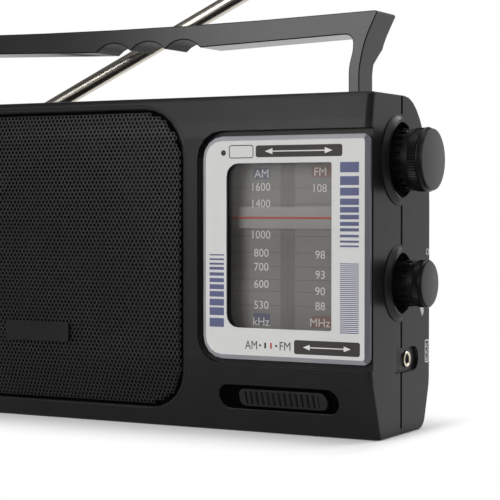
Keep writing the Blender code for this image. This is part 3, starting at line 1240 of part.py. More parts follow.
def main():
    clear_scene()
    charcoal = finish("charcoal_plastic", (0.035, 0.036, 0.038), 0.45)
    knob_black = finish("knob_plastic", (0.03, 0.03, 0.032), 0.4)
    silver = finish("silver_panel", (0.62, 0.61, 0.58), 0.35, 0.3)
    clear = finish("clear_window", (0.8, 0.82, 0.84), 0.05)
    dial_grey = finish("dial_grey", (0.17, 0.165, 0.155), 0.6)
    pointer_pale = finish("pointer_pale", (0.3, 0.29, 0.27), 0.5)
    grille_metal = finish("grille_metal", (0.05, 0.05, 0.052), 0.45, 0.6)
    chrome = finish("antenna_chrome", (0.8, 0.78, 0.74), 0.12, 1.0)
    steel = finish("plated_steel", (0.55, 0.55, 0.56), 0.35, 1.0)
    paper = finish("speaker_paper", (0.06, 0.055, 0.05), 0.9)
    ferrite = finish("ferrite", (0.07, 0.07, 0.075), 0.55)
    board_green = finish("board_laminate", (0.16, 0.22, 0.08), 0.5)
    copper = finish("copper_winding", (0.55, 0.25, 0.12), 0.4, 0.8)
    pale_plastic = finish("pale_plastic", (0.6, 0.57, 0.5), 0.5)
    cell_jacket = finish("cell_jacket", (0.1, 0.16, 0.3), 0.35)
    cord_white = finish("cord_white", (0.7, 0.68, 0.62), 0.8)

    front_cabinet(charcoal)
    rear_cabinet(charcoal)
    speaker_grille(grille_metal)
    grille_badge(knob_black)
    dial_bezel(silver)
    dial_lens(clear)
    dial_backplate(dial_grey)
    pointer = dial_pointer(pointer_pale)
    carry("dial_pointer_slide", (CORD_X, CORD_FRONT, POINTER_Z), pointer)
    slider = band_switch_knob(knob_black)
    carry("band_switch_slide", (SLIDER_X, front_at(SLIDER_Z), SLIDER_Z), slider)
    band_switch(pale_plastic)

    tuning_capacitor(pale_plastic)
    tuning = knob("tuning_knob", TUNING_Z, TUNING_RADIUS, TUNING_REACH, TUNING_HEAD, TUNING_NECK,
                  TUNING_SHAFT, knob_black)
    shaft_low = CAPACITOR_RIGHT - BORE_DEPTH + CLEARANCE
    tuning_rod = shaft("tuning_shaft", TUNING_Z, TUNING_SHAFT, shaft_low, TUNING_REACH, TUNING_HEAD, steel)
    drum = grooved_wheel("cord_drum", (PARTING, TUNING_Z), DRUM_RADIUS, TUNING_SHAFT + CLEARANCE,
                         pale_plastic, ROUND_STEPS)
    carry("tuning_axis", (HALF_WIDTH, PARTING, TUNING_Z), tuning, tuning_rod, drum)
    for name, y, z in (("lower", LOWER_PULLEY_Y, LOWER_PULLEY_Z), ("upper", UPPER_PULLEY_Y, UPPER_PULLEY_Z)):
        wheel = grooved_wheel(f"cord_pulley_{name}", (y, z), PULLEY_RADIUS, PULLEY_PIN + CLEARANCE,
                              pale_plastic, SMALL_STEPS)
        carry(f"cord_pulley_{name}_axis", (CORD_X, y, z), wheel)
    dial_cord(cord_white)

    volume_control(pale_plastic)
    volume = knob("volume_knob", VOLUME_Z, VOLUME_RADIUS, VOLUME_REACH, VOLUME_HEAD, VOLUME_NECK,
                  VOLUME_SHAFT, knob_black)
    shaft_low = CONTROL_RIGHT - BORE_DEPTH + CLEARANCE
    volume_rod = shaft("volume_shaft", VOLUME_Z, VOLUME_SHAFT, shaft_low, VOLUME_REACH, VOLUME_HEAD, steel)
    carry("volume_axis", (HALF_WIDTH, PARTING, VOLUME_Z), volume, volume_rod)

    loudspeaker(steel, paper, ferrite)
    main_board(board_green, steel, knob_black, steel)
    earphone_jack(knob_black)
    ferrite_antenna(ferrite, copper, pale_plastic)
    battery(cell_jacket, steel, charcoal)
    carry_handle(charcoal)
    antenna_mount(chrome, knob_black)
    antenna_base(chrome)
    antenna_sections(chrome)
    case_screws(steel)


main()
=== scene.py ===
"""Looks of the portable two-band radio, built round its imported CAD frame.

Every size is in metres in the row frame: +X to the right of the dial, +Y to the back, +Z up,
with the origin in the middle of the underside.
"""

from __future__ import annotations

import json
import logging
import math
from dataclasses import dataclass, field
from enum import Enum

import bmesh
import bpy
import numpy as np
from mathutils.geometry import tessellate_polygon
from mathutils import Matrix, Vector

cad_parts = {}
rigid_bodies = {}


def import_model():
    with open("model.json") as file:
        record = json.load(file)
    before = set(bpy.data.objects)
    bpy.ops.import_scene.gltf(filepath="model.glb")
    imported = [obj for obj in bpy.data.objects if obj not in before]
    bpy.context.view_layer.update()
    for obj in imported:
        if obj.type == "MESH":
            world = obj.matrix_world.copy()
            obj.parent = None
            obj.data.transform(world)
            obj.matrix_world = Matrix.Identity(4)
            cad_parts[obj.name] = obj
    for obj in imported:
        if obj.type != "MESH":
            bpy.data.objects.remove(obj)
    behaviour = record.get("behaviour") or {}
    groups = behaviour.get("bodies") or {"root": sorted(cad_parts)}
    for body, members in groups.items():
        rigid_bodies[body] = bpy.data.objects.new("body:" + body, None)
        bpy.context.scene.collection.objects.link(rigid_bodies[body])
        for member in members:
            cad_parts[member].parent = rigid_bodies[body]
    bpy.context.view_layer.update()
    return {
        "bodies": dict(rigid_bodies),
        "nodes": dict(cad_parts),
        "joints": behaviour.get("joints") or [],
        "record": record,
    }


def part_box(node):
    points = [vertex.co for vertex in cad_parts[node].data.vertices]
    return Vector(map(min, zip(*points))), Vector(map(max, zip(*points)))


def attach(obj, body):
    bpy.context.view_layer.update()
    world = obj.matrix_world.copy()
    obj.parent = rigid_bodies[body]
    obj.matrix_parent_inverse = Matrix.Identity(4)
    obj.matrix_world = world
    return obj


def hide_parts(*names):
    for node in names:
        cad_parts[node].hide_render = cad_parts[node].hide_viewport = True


LOG = logging.getLogger("radio")
Triple = tuple[float, float, float]
Span = tuple[float, float, float, float]
Socket = bpy.types.NodeSocket

# Planes of the case: its front, its right side and the line where its shells meet.
FRONT = -0.0274
SIDE = 0.105
PARTING = 0.0012
# Heights of the knobs' axes.
TUNING_Z = 0.1052
VOLUME_Z = 0.0582
# Height of ink over what it is printed on.
INK = 0.00003
# Steps round a turned piece, and round the corner of a fine outline.
LATHE_STEPS = 48
CORNER_STEPS = 12
# Cross sections of rounded lips: growth outwards of the outline, depth behind the front.
GRILLE_LIP = ((0.0019, 0.00002), (0.0016, -0.00008), (0.0012, -0.00016), (0.0008, -0.00014),
              (0.0005, -0.00002), (0.0003, 0.00018), (0.0003, 0.0009))
SLOT_LIP = ((0.0009, 0.00002), (0.0007, -0.00006), (0.0004, -0.00007), (0.0002, 0.0),
            (0.00003, 0.00018), (0.00001, 0.0004))
# The band switch's slot, and the rings of the near-black lining of its pocket that paints the
# pocket's shade: share of the outline, depth.
SLOT_BOX = (0.03925, 0.09055, 0.00935, 0.01885)
SLOT_ROUND = 0.0043
SLOT_POCKET = ((1.0, 0.0003), (1.0, 0.0013), (0.001, 0.0013))
# The slider's cross section: places from edge to edge, and how far each one drops.
SLIDER_EDGE = np.array([-1.0, -0.97, -0.9, -0.74, -0.68, 0.68, 0.74, 0.9, 0.97, 1.0])
SLIDER_DROP = np.array([0.0004, 0.0001, 0.0, 0.0, 0.0, 0.0, 0.0, 0.0, 0.0001, 0.0004])
# The jack's plated ring: its place (Y, Z), and its section along X.
JACK_CENTRE = (0.0082, 0.0286)
JACK_RING = ((0.1034, 0.00303), (0.10445, 0.00303), (0.1046, 0.0029), (0.10465, 0.0025),
             (0.1045, 0.0022), (0.1042, 0.0019), (0.1030, 0.00185))
# A collar's section: shift ahead of the axis, radius past the well, height above the side.
COLLAR_SECTION = (
    (0.0019, 0.00285, 0.00002), (0.0019, 0.0028, 0.00038), (0.0019, 0.0025, 0.00046),
    (0.0019, 0.0022, 0.0003), (0.0, 0.00115, 0.00116), (0.0, 0.001, 0.00142),
    (0.0, 0.0006, 0.00142), (0.0, 0.0001, 0.00135), (0.0, -0.00005, 0.0012),
    (0.0, -0.00005, -0.003))
COLLAR_STEPS = 97
SEAM_GAP = 0.0002
# Half the length of the handle's finger hollows.
SCALLOP_REACH = 0.0246
# Prints on the bezel. Stripes: (top, height) at the right, (bottom, height) at the left.
STRIPE_RIGHT_X = (0.0928, 0.1005)
STRIPES_RIGHT = (
    (0.1039, 0.00385), (0.09865, 0.0033), (0.0944, 0.0029), (0.0904, 0.0024),
    (0.0873, 0.0021), (0.0844, 0.0017), (0.0818, 0.0015), (0.07945, 0.0012),
    (0.07705, 0.001), (0.0749, 0.0008), (0.0731, 0.00065))
STRIPE_LEFT_X = (0.0370, 0.0434)
STRIPES_LEFT = (
    (0.0411, 0.0034), (0.0456, 0.003), (0.0493, 0.0026), (0.0527, 0.0022), (0.0556, 0.0019),
    (0.0583, 0.0016), (0.0608, 0.0013), (0.0631, 0.0011), (0.065, 0.0008), (0.0668, 0.0007),
    (0.0686, 0.0005))
FINE_STRIPES = (0.0405, 0.0661, 36)
FINE_HEIGHT = 0.00036
PILLS = ((0.0573, 0.0937, 0.1061, 0.1106), (0.0737, 0.1010, 0.0320, 0.0373))
PILL_ROUND = 0.0009
EMPTY_PILL = (0.0456, 0.0563, 0.1058, 0.1109)
TUNE_DOT = (0.0421, 0.0443, 0.10685, 0.10905)
DOT_ROUND = 0.0011
BAND_Z = 0.0347
BAND_DOTS = ((0.0592, 0.0004), (0.0614, 0.0011), (0.0661, 0.0004))
BAND_DOT_HALF = 0.0004
RED_DOT = (0.0635, 0.0643, 0.0336, 0.0358)
# Prints on the scale behind the window.
SCALE_COLUMN = (0.0632, 0.0694, 0.0400, 0.1060)
SCALE_ENDS = (0.0400, 0.0900)
SCALE_LINES = (0.0945, 0.0883, 0.0822, 0.0760, 0.0697, 0.0643, 0.0593, 0.0547, 0.0493)
SCALE_LINE = 0.00022
COLUMN_DIGITS = (("10", 0.0945), ("9", 0.0883), ("6", 0.0737), ("5", 0.0688), ("4", 0.0634),
                 ("3", 0.0580), ("2", 0.0532), ("1", 0.0485))
BLUE_PATCHES = ((0.0513, 0.0587, 0.0980, 0.1022), (0.0513, 0.0587, 0.0418, 0.0462))
BROWN_PATCHES = ((0.0765, 0.0850, 0.0985, 0.1028), (0.0765, 0.0850, 0.0415, 0.0460))
PATCH_ROUND = 0.0006
AM_WORDS = (("AM", 0.1001), ("1600", 0.0950), ("1400", 0.0886), ("1000", 0.0766),
            ("800", 0.0696), ("700", 0.0642), ("600", 0.0576), ("530", 0.0495), ("kHz", 0.0431))
FM_WORDS = (("FM", 0.1006), ("108", 0.0944), ("106", 0.0826), ("98", 0.0692), ("93", 0.0616),
            ("90", 0.0554), ("88", 0.0497), ("MHz", 0.0434))
WORD_HEIGHT = 0.0031
DIGIT_HEIGHT = 0.0022
# The pointer's red line: length without the clear band behind it, and half its width.
POINTER_BARE = 0.0045
POINTER_HALF = 0.0004
# Marks on the right side, as (Y, Z).
VOLUME_WEDGE = ((0.0190, 0.0481), (0.0230, 0.0483), (0.0230, 0.0460), (0.0216, 0.0443))
EAR_FRAME = (0.0243, 0.0283, 0.0259, 0.0350)
# Where the floor and the room fade: from value 0 to value 1.
FOOTPRINT = (0.105, 0.0283, 0.0)
SHADOW_SHAPE = (3.5, 1.0, 1.0)
SHADOW_FADE = (-0.015, 0.045)
BACK_FADE = (-0.15, 0.05)
DIM_FADE = (0.08, 0.3)
ROOM_BACK = (-0.1, 0.3)
ROOM_LOW = (0.5, 0.2)
FLOOR_HALF = 8.0
# How a finish varies: cells per metre of its colour and roughness, the share by which its
# roughness varies, and the height of its relief.
COLOUR_CELLS = 60.0
ROUGH_CELLS = 140.0
ROUGH_SPREAD = 0.12
RELIEF_HEIGHT = 0.0002


class Axis(Enum):
    """Plane that a print lies on, by the way it faces."""

    FRONT = "front"
    RIGHT = "right"


class Relief(Enum):
    """Kinds of fine surface relief, by how the grain is scaled along each axis."""

    NONE = None
    SPARK = (1.0, 1.0, 1.0)
    BRUSHED = (0.02, 1.0, 1.0)


@dataclass(frozen=True)
class Net:
    """Adds nodes to a shader's node tree.

    Args:
        tree: The node tree.
    """

    tree: bpy.types.NodeTree

    def feed(self, node: bpy.types.Node, inputs: dict) -> None:
        """Sets or links inputs of a node.

        Args:
            node: Node to feed.
            inputs: A constant or another node's output for each input, by name or number.
        """
        for key, value in inputs.items():
            if isinstance(value, Socket):
                self.tree.links.new(value, node.inputs[key])
            else:
                node.inputs[key].default_value = value

    def node(self, kind: str, inputs: dict | None = None, operation: str = "") -> bpy.types.Node:
        """Adds a node.

        Args:
            kind: Type of node, without its prefix.
            inputs: What feeds its inputs.
            operation: What a math node does.

        Returns:
            The node.
        """
        made = self.tree.nodes.new("ShaderNode" + kind)
        if operation:
            made.operation = operation
        self.feed(made, inputs or {})
        return made

    def add(self, kind: str, inputs: dict | None = None, operation: str = "") -> Socket:
        """Adds a node whose first output is wanted."""
        return self.node(kind, inputs, operation).outputs[0]

    def noise(self, scale: float, stretch: Triple = (1.0, 1.0, 1.0)) -> Socket:
        """Noise on object coordinates.

        Args:
            scale: Cells per metre.
            stretch: Scale of each axis.

        Returns:
            The noise.
        """
        place = self.node("TexCoord").outputs["Object"]
        mapped = self.add("Mapping", {"Vector": place, "Scale": stretch})
        noise = self.node("TexNoise", {"Vector": mapped, "Scale": scale, "Detail": 3.0})
        return noise.outputs["Fac"]

    def range(self, value: Socket, low: float | Socket, high: float) -> Socket:
        """Maps a value between 0 and 1 to a range."""
        return self.add("MapRange", {"Value": value, "To Min": low, "To Max": high})

    def fade(self, value: Socket, start: float, end: float) -> Socket:
        """A smooth step between two values.

        Args:
            value: What it depends on.
            start: Where it is 0.
            end: Where it is 1.

        Returns:
            The step.
        """
        step = self.node("MapRange", {"Value": value, "From Min": start, "From Max": end})
        step.interpolation_type = "SMOOTHSTEP"
        return step.outputs[0]

    def math(self, operation: str, first: Socket, second: Socket) -> Socket:
        """A math operation on two values."""
        return self.add("Math", {0: first, 1: second}, operation)

    def mix(self, share: float | Socket, first: Socket, second: Socket) -> Socket:
        """A mix of two shaders."""
        return self.add("MixShader", {"Fac": share, 1: first, 2: second})


@dataclass(frozen=True)
class Finish:
    """A surface finish.

    Args:
        name: Material name.
        colour: Linear base colour.
        roughness: Mean roughness.
        metallic: Metallic share.
        spread: Share by which the colour varies over the surface.
        relief: Kind of fine relief.
        depth: Strength of the relief.
        grain: Relief cells per metre.
        edge: Radius in metres that softens edges in shading.
        specular: Specular level.
        clear: Share of light that passes straight through.
    """

    name: str
    colour: Triple
    roughness: float = 0.45
    metallic: float = 0.0
    spread: float = 0.06
    relief: Relief = Relief.SPARK
    depth: float = 0.05
    grain: float = 2600.0
    edge: float = 0.0
    specular: float = 0.5
    clear: float = 0.0

    def material(self) -> bpy.types.Material:
        """Finds or builds the material.

        Returns:
            The node material for this finish.
        """
        title = self.name + "_finish"
        found = bpy.data.materials.get(title)
        if found is not None:
            return found
        made = bpy.data.materials.new(title)
        made.use_nodes = True
        net = Net(made.node_tree)
        nodes = made.node_tree.nodes
        shader = nodes["Principled BSDF"]
        low, high = self.roughness * (1 - ROUGH_SPREAD), self.roughness * (1 + ROUGH_SPREAD)
        net.feed(shader, {
            "Metallic": self.metallic,
            "Specular IOR Level": self.specular,
            "Base Color": self._colour(net),
            "Roughness": net.range(net.noise(ROUGH_CELLS), low, min(high, 1.0)),
            **self._normal(net)})
        if self.clear > 0:
            through = net.add("BsdfTransparent")
            mixed = net.mix(self.clear, shader.outputs["BSDF"], through)
            net.feed(nodes["Material Output"], {"Surface": mixed})
        return made

    def _colour(self, net: Net) -> Socket:
        """The base colour with a slow variation.

        Args:
            net: Nodes to add to.

        Returns:
            The colour.
        """
        ramp = net.node("ValToRGB", {"Fac": net.noise(COLOUR_CELLS)})
        shades = ((0.35, 1 - self.spread), (0.65, 1 + self.spread))
        for stop, (position, factor) in zip(ramp.color_ramp.elements, shades):
            stop.position = position
            stop.color = (*(min(channel * factor, 1.0) for channel in self.colour), 1)
        return ramp.outputs["Color"]

    def _normal(self, net: Net) -> dict[str, Socket]:
        """Softened edges and fine relief, where the finish has them.

        Args:
            net: Nodes to add to.

        Returns:
            What feeds the shader's normal.
        """
        fed = {}
        if self.edge > 0:
            soft = net.node("Bevel", {"Radius": self.edge})
            soft.samples = 6
            fed = {"Normal": soft.outputs["Normal"]}
        if self.relief is not Relief.NONE:
            grain = net.noise(self.grain, self.relief.value)
            fed = {"Normal": net.add("Bump", {
                "Strength": self.depth, "Distance": RELIEF_HEIGHT, "Height": grain, **fed})}
        return fed


CHARCOAL = Finish("charcoal_plastic", (0.0100, 0.0100, 0.0102), 0.30, depth=0.04, edge=0.0003,
                  specular=0.13)
HANDLE_BLACK = Finish("handle_plastic", (0.007, 0.0067, 0.0065), 0.19, specular=0.27)
KNOB_BLACK = Finish("knob_plastic", (0.005, 0.005, 0.0052), 0.34, depth=0.03, specular=0.32)
# A darker, duller copy of the handle's plastic for the undersides of the finger hollows: painted
# shade.
GRIP_UNDER_SHADE = Finish("grip_under_shade", (0.006, 0.0058, 0.0056), 0.36, depth=0.03, specular=0.07)
KNOB_SIDE = Finish("knob_side", (0.006, 0.0057, 0.0055), 0.36, depth=0.03, specular=0.14)
BADGE_BLACK = Finish("badge_black", (0.010, 0.010, 0.010), 0.26, depth=0.03, specular=0.2)
SILVER = Finish("silver_panel", (0.435, 0.435, 0.428), 0.42, spread=0.02, depth=0.02,
                specular=0.3)
# Bluish colour of the bezel's clear edges: darker on faces turned right (painted shade), paler on
# faces turned left, up or down (painted highlight).
ACRYLIC_EDGE_SHADE = Finish("acrylic_edge_shade", (0.10, 0.103, 0.120), 0.20, spread=0.05, depth=0.02)
ACRYLIC_EDGE_HIGHLIGHT = Finish("acrylic_edge_highlight", (0.25, 0.252, 0.27), 0.25, spread=0.05, depth=0.02)
DIAL_GREY = Finish("dial_grey", (0.162, 0.156, 0.149), 0.42, depth=0.01, specular=0.3)
POINTER_PALE = Finish("pointer_pale", (0.36, 0.35, 0.34), 0.4, depth=0.01, specular=0.3,
                      clear=0.45)
GRILLE_METAL = Finish("grille_metal", (0.016, 0.0154, 0.0147), 0.34, depth=0.03, specular=0.20)
CHROME = Finish("antenna_chrome", (0.62, 0.575, 0.51), 0.26, 1.0, 0.02, Relief.NONE)
JACK_PLATE = Finish("jack_plate", (0.78, 0.70, 0.56), 0.30, 1.0, relief=Relief.BRUSHED, depth=0.03)
STEEL = Finish("plated_steel", (0.55, 0.55, 0.56), 0.32, 1.0, relief=Relief.BRUSHED)
PAPER = Finish("speaker_paper", (0.006, 0.006, 0.006), 0.9, depth=0.3, grain=1500.0, specular=0.1)
# Near-black stand-in for shadow: painted shade in the band switch's pocket and on the grille's
# border.
SHADE_BLACK = Finish("painted_shade_black", (0.0008, 0.0008, 0.0008), 0.9, relief=Relief.NONE, specular=0.02)
FERRITE = Finish("ferrite", (0.06, 0.06, 0.065), 0.55, depth=0.15)
LAMINATE = Finish("board_laminate", (0.16, 0.22, 0.08))
COPPER = Finish("copper_winding", (0.55, 0.25, 0.12), 0.35, 0.8, relief=Relief.BRUSHED, depth=0.2)
PALE = Finish("pale_plastic", (0.6, 0.57, 0.5))
JACKET = Finish("cell_jacket", (0.1, 0.16, 0.3), 0.3)
CORD = Finish("cord_white", (0.7, 0.68, 0.62), 0.8, depth=0.3, grain=4000.0)
NAVY_INK = Finish("navy_ink", (0.064, 0.070, 0.142), 0.5, depth=0.02, specular=0.3)
DARK_INK = Finish("dark_ink", (0.028, 0.026, 0.024), 0.5, depth=0.02, specular=0.2)
RED_INK = Finish("red_ink", (0.30, 0.05, 0.04), 0.5, depth=0.02, specular=0.3)
WHITE_INK = Finish("white_ink", (0.50, 0.49, 0.475), 0.5, depth=0.01, specular=0.3)
MARK_INK = Finish("mark_ink", (0.80, 0.80, 0.79), 0.5, depth=0.02)
LINE_INK = Finish("line_ink", (0.105, 0.102, 0.097), 0.5, depth=0.01, specular=0.3)
COLUMN_INK = Finish("column_ink", (0.128, 0.124, 0.118), 0.45, depth=0.01, specular=0.3)
BLUE_PATCH = Finish("blue_patch", (0.095, 0.10, 0.145), 0.5, depth=0.01, specular=0.3)
BROWN_PATCH = Finish("brown_patch", (0.175, 0.108, 0.095), 0.5, depth=0.01, specular=0.3)
SLOT_FINISHES = {finish.name: finish for finish in (
    CHARCOAL, KNOB_BLACK, SILVER, DIAL_GREY, POINTER_PALE, GRILLE_METAL, CHROME, STEEL, PAPER,
    FERRITE, LAMINATE, COPPER, PALE, JACKET, CORD)}


def blank_material(name: str) -> tuple[bpy.types.Material, Net]:
    """A node material without nodes.

    Args:
        name: Material name.

    Returns:
        The material and its nodes.
    """
    made = bpy.data.materials.new(name)
    made.use_nodes = True
    made.node_tree.nodes.clear()
    return made, Net(made.node_tree)


def clear_glass(name: str, tint: Triple, gloss: float) -> bpy.types.Material:
    """A thin clear sheet that lets the dial through and catches a little light.

    Args:
        name: Material name.
        tint: Colour of what passes through.
        gloss: Share of mirror reflection seen face on.

    Returns:
        The material.
    """
    made, net = blank_material(name)
    place = net.node("TexCoord").outputs["Object"]
    noise = net.node("TexNoise", {"Vector": place, "Scale": 80.0}).outputs["Fac"]
    facing = net.node("LayerWeight", {"Blend": 0.25}).outputs["Fresnel"]
    wear = net.range(noise, gloss * 0.8, gloss * 1.2)
    share = net.add("Math", {0: facing, 1: 0.5, 2: wear}, "MULTIPLY_ADD")
    through = net.add("BsdfTransparent", {"Color": (*tint, 1)})
    shine = net.add("BsdfGlossy", {"Roughness": 0.06})
    net.node("OutputMaterial", {"Surface": net.mix(share, through, shine)})
    return made


def grid_mesh(name: str, grid: np.ndarray, wrap: bool, caps: bool) -> bpy.types.Mesh:
    """A mesh over a grid of points, with its faces turned outwards.

    Args:
        name: Mesh name.
        grid: Points as (rows, columns, 3).
        wrap: Whether the last column joins the first.
        caps: Whether the first and last rows are closed with flat faces.

    Returns:
        The mesh.
    """
    rows, columns = grid.shape[:2]
    index = np.arange(rows * columns).reshape(rows, columns)
    right = np.roll(index, -1, axis=1) if wrap else index[:, 1:]
    left = index if wrap else index[:, :-1]
    quads = np.stack([left[:-1], right[:-1], right[1:], left[1:]], axis=-1)
    faces = quads.reshape(-1, 4).tolist()
    if caps:
        faces += [index[0, ::-1].tolist(), index[-1].tolist()]
    mesh = bpy.data.meshes.new(name)
    mesh.from_pydata(grid.reshape(-1, 3).tolist(), [], faces)
    work = bmesh.new()
    work.from_mesh(mesh)
    bmesh.ops.recalc_face_normals(work, faces=work.faces)
    work.to_mesh(mesh)
    work.free()
    return mesh


def soft_shade(mesh: bpy.types.Mesh, angle: float) -> None:
    """Shades a mesh smooth up to an angle."""
    mesh.shade_smooth()
    mesh.set_sharp_from_angle(angle=math.radians(angle))


def lathe(profile: np.ndarray, segments: int, teeth: float | np.ndarray = 0.0) -> np.ndarray:
    """Turns a profile round the X axis.

    Args:
        profile: (along, radius) pairs.
        segments: Steps round the axis.
        teeth: Radius offsets as (profile points, segments).

    Returns:
        Points as (profile points, segments, 3) about the X axis.
    """
    turn = np.linspace(0, 2 * np.pi, segments, endpoint=False)
    along = np.repeat(profile[:, :1], segments, axis=1)
    radius = np.repeat(profile[:, 1:], segments, axis=1) + teeth
    return np.stack([along, radius * np.cos(turn), radius * np.sin(turn)], axis=-1)


def face_values(mesh: bpy.types.Mesh, key: str) -> np.ndarray:
    """A vector of each face.

    Args:
        mesh: Mesh to read.
        key: Which vector: "normal" or "center".

    Returns:
        Vectors as (faces, 3).
    """
    values = np.empty(len(mesh.polygons) * 3)
    mesh.polygons.foreach_get(key, values)
    return values.reshape(-1, 3)


def paint(mesh: bpy.types.Mesh, index: np.ndarray, *finishes: Finish) -> None:
    """Gives some faces further finishes.

    Args:
        mesh: Mesh to paint.
        index: Number of each face's finish, where 0 is the one that it has.
        finishes: The finishes from number 1 on.
    """
    for finish in finishes:
        mesh.materials.append(finish.material())
    mesh.polygons.foreach_set("material_index", index.astype(np.int32))


def grown(span: Span, by: float) -> Span:
    """A box that is larger on every side."""
    left, right, bottom, top = span
    return left - by, right + by, bottom - by, top + by


def rounded_box(span: Span, radius: float, steps: int = 5) -> np.ndarray:
    """Outline of a box with round corners.

    Args:
        span: Left, right, bottom and top.
        radius: Corner radius.
        steps: Steps round each corner.

    Returns:
        Points in order.
    """
    left, right, bottom, top = grown(span, -radius)
    centres = ((right, top), (left, top), (left, bottom), (right, bottom))
    if radius <= 0:
        return np.array(centres[2:] + centres[:1] + centres[1:2])
    turn = np.linspace(0, np.pi / 2, steps + 1)
    quarter = np.stack([np.cos(turn), np.sin(turn)], axis=-1) * radius
    outline = []
    for number, centre in enumerate(centres):
        angle = number * math.pi / 2
        cosine, sine = round(math.cos(angle)), round(math.sin(angle))
        outline.append(quarter @ np.array([[cosine, sine], [-sine, cosine]]) + centre)
    return np.concatenate(outline)


@dataclass(frozen=True)
class Workshop:
    """Adds pieces to the scene.
    """

    frame: dict

    def piece(self, name: str, mesh: bpy.types.Mesh, look: Finish | bpy.types.Material,
              body: str, slot: str, *nodes: str) -> bpy.types.Object:
        """Adds a piece that rides on a body.

        Args:
            name: Object name.
            mesh: Its mesh, in the row frame.
            look: Its finish or material.
            body: CAD body that it moves with.
            slot: Material slot of the record; not used.
            nodes: CAD nodes that it stands for.

        Returns:
            The object.
        """
        obj = bpy.data.objects.new(name, mesh)
        bpy.context.scene.collection.objects.link(obj)
        mesh.materials.clear()
        mesh.materials.append(look.material() if isinstance(look, Finish) else look)
        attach(obj, body)
        if nodes:
            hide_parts(*nodes)
        LOG.info("%s: %d faces on %s", name, len(mesh.polygons), body)
        return obj

    def surface(self, name: str, grid: np.ndarray, look: Finish, body: str, slot: str,
                *nodes: str, angle: float, wrap: bool = True,
                caps: bool = True) -> bpy.types.Object:
        """Adds a smooth-shaded piece over a grid of points.

        Args:
            name: Object name.
            grid: Points as (rows, columns, 3).
            look: Its finish.
            body: CAD body that it moves with.
            slot: Material slot of the record; not used.
            nodes: CAD nodes that it stands for.
            angle: Angle in degrees above which edges stay sharp.
            wrap: Whether the last column joins the first.
            caps: Whether the first and last rows are closed.

        Returns:
            The object.
        """
        mesh = grid_mesh(name, grid, wrap, caps)
        soft_shade(mesh, angle)
        return self.piece(name, mesh, look, body, slot, *nodes)

    def copy(self, node: str, look: Finish | bpy.types.Material, body: str, slot: str,
             angle: float = 35.0, flatten: bool = False) -> bpy.types.Object:
        """Adds a smooth-shaded copy of a CAD node with its seams merged, in the node's place.

        Args:
            node: CAD node.
            look: Its finish or material.
            body: CAD body that it moves with.
            slot: Material slot of the record; not used.
            angle: Angle in degrees above which edges stay sharp.
            flatten: Whether flat areas become single faces.

        Returns:
            The object.
        """
        work = bmesh.new()
        work.from_mesh(self.frame["nodes"][node].data)
        bmesh.ops.remove_doubles(work, verts=work.verts, dist=1e-6)
        if flatten:
            bmesh.ops.dissolve_limit(work, angle_limit=math.radians(0.5), verts=work.verts,
                                     edges=work.edges)
        mesh = bpy.data.meshes.new(node + "_look")
        work.to_mesh(mesh)
        work.free()
        soft_shade(mesh, angle)
        return self.piece(node + "_look", mesh, look, body, slot, node)

    def dress_rest(self) -> None:
        """Gives every CAD node its slot's finish, before pieces take the place of some."""
        for part in self.frame["record"]["subparts"]:
            finish = SLOT_FINISHES.get(part["material_slot"])
            if finish is not None:
                node = self.frame["nodes"][part["node"]]
                node.data.materials.clear()
                node.data.materials.append(finish.material())


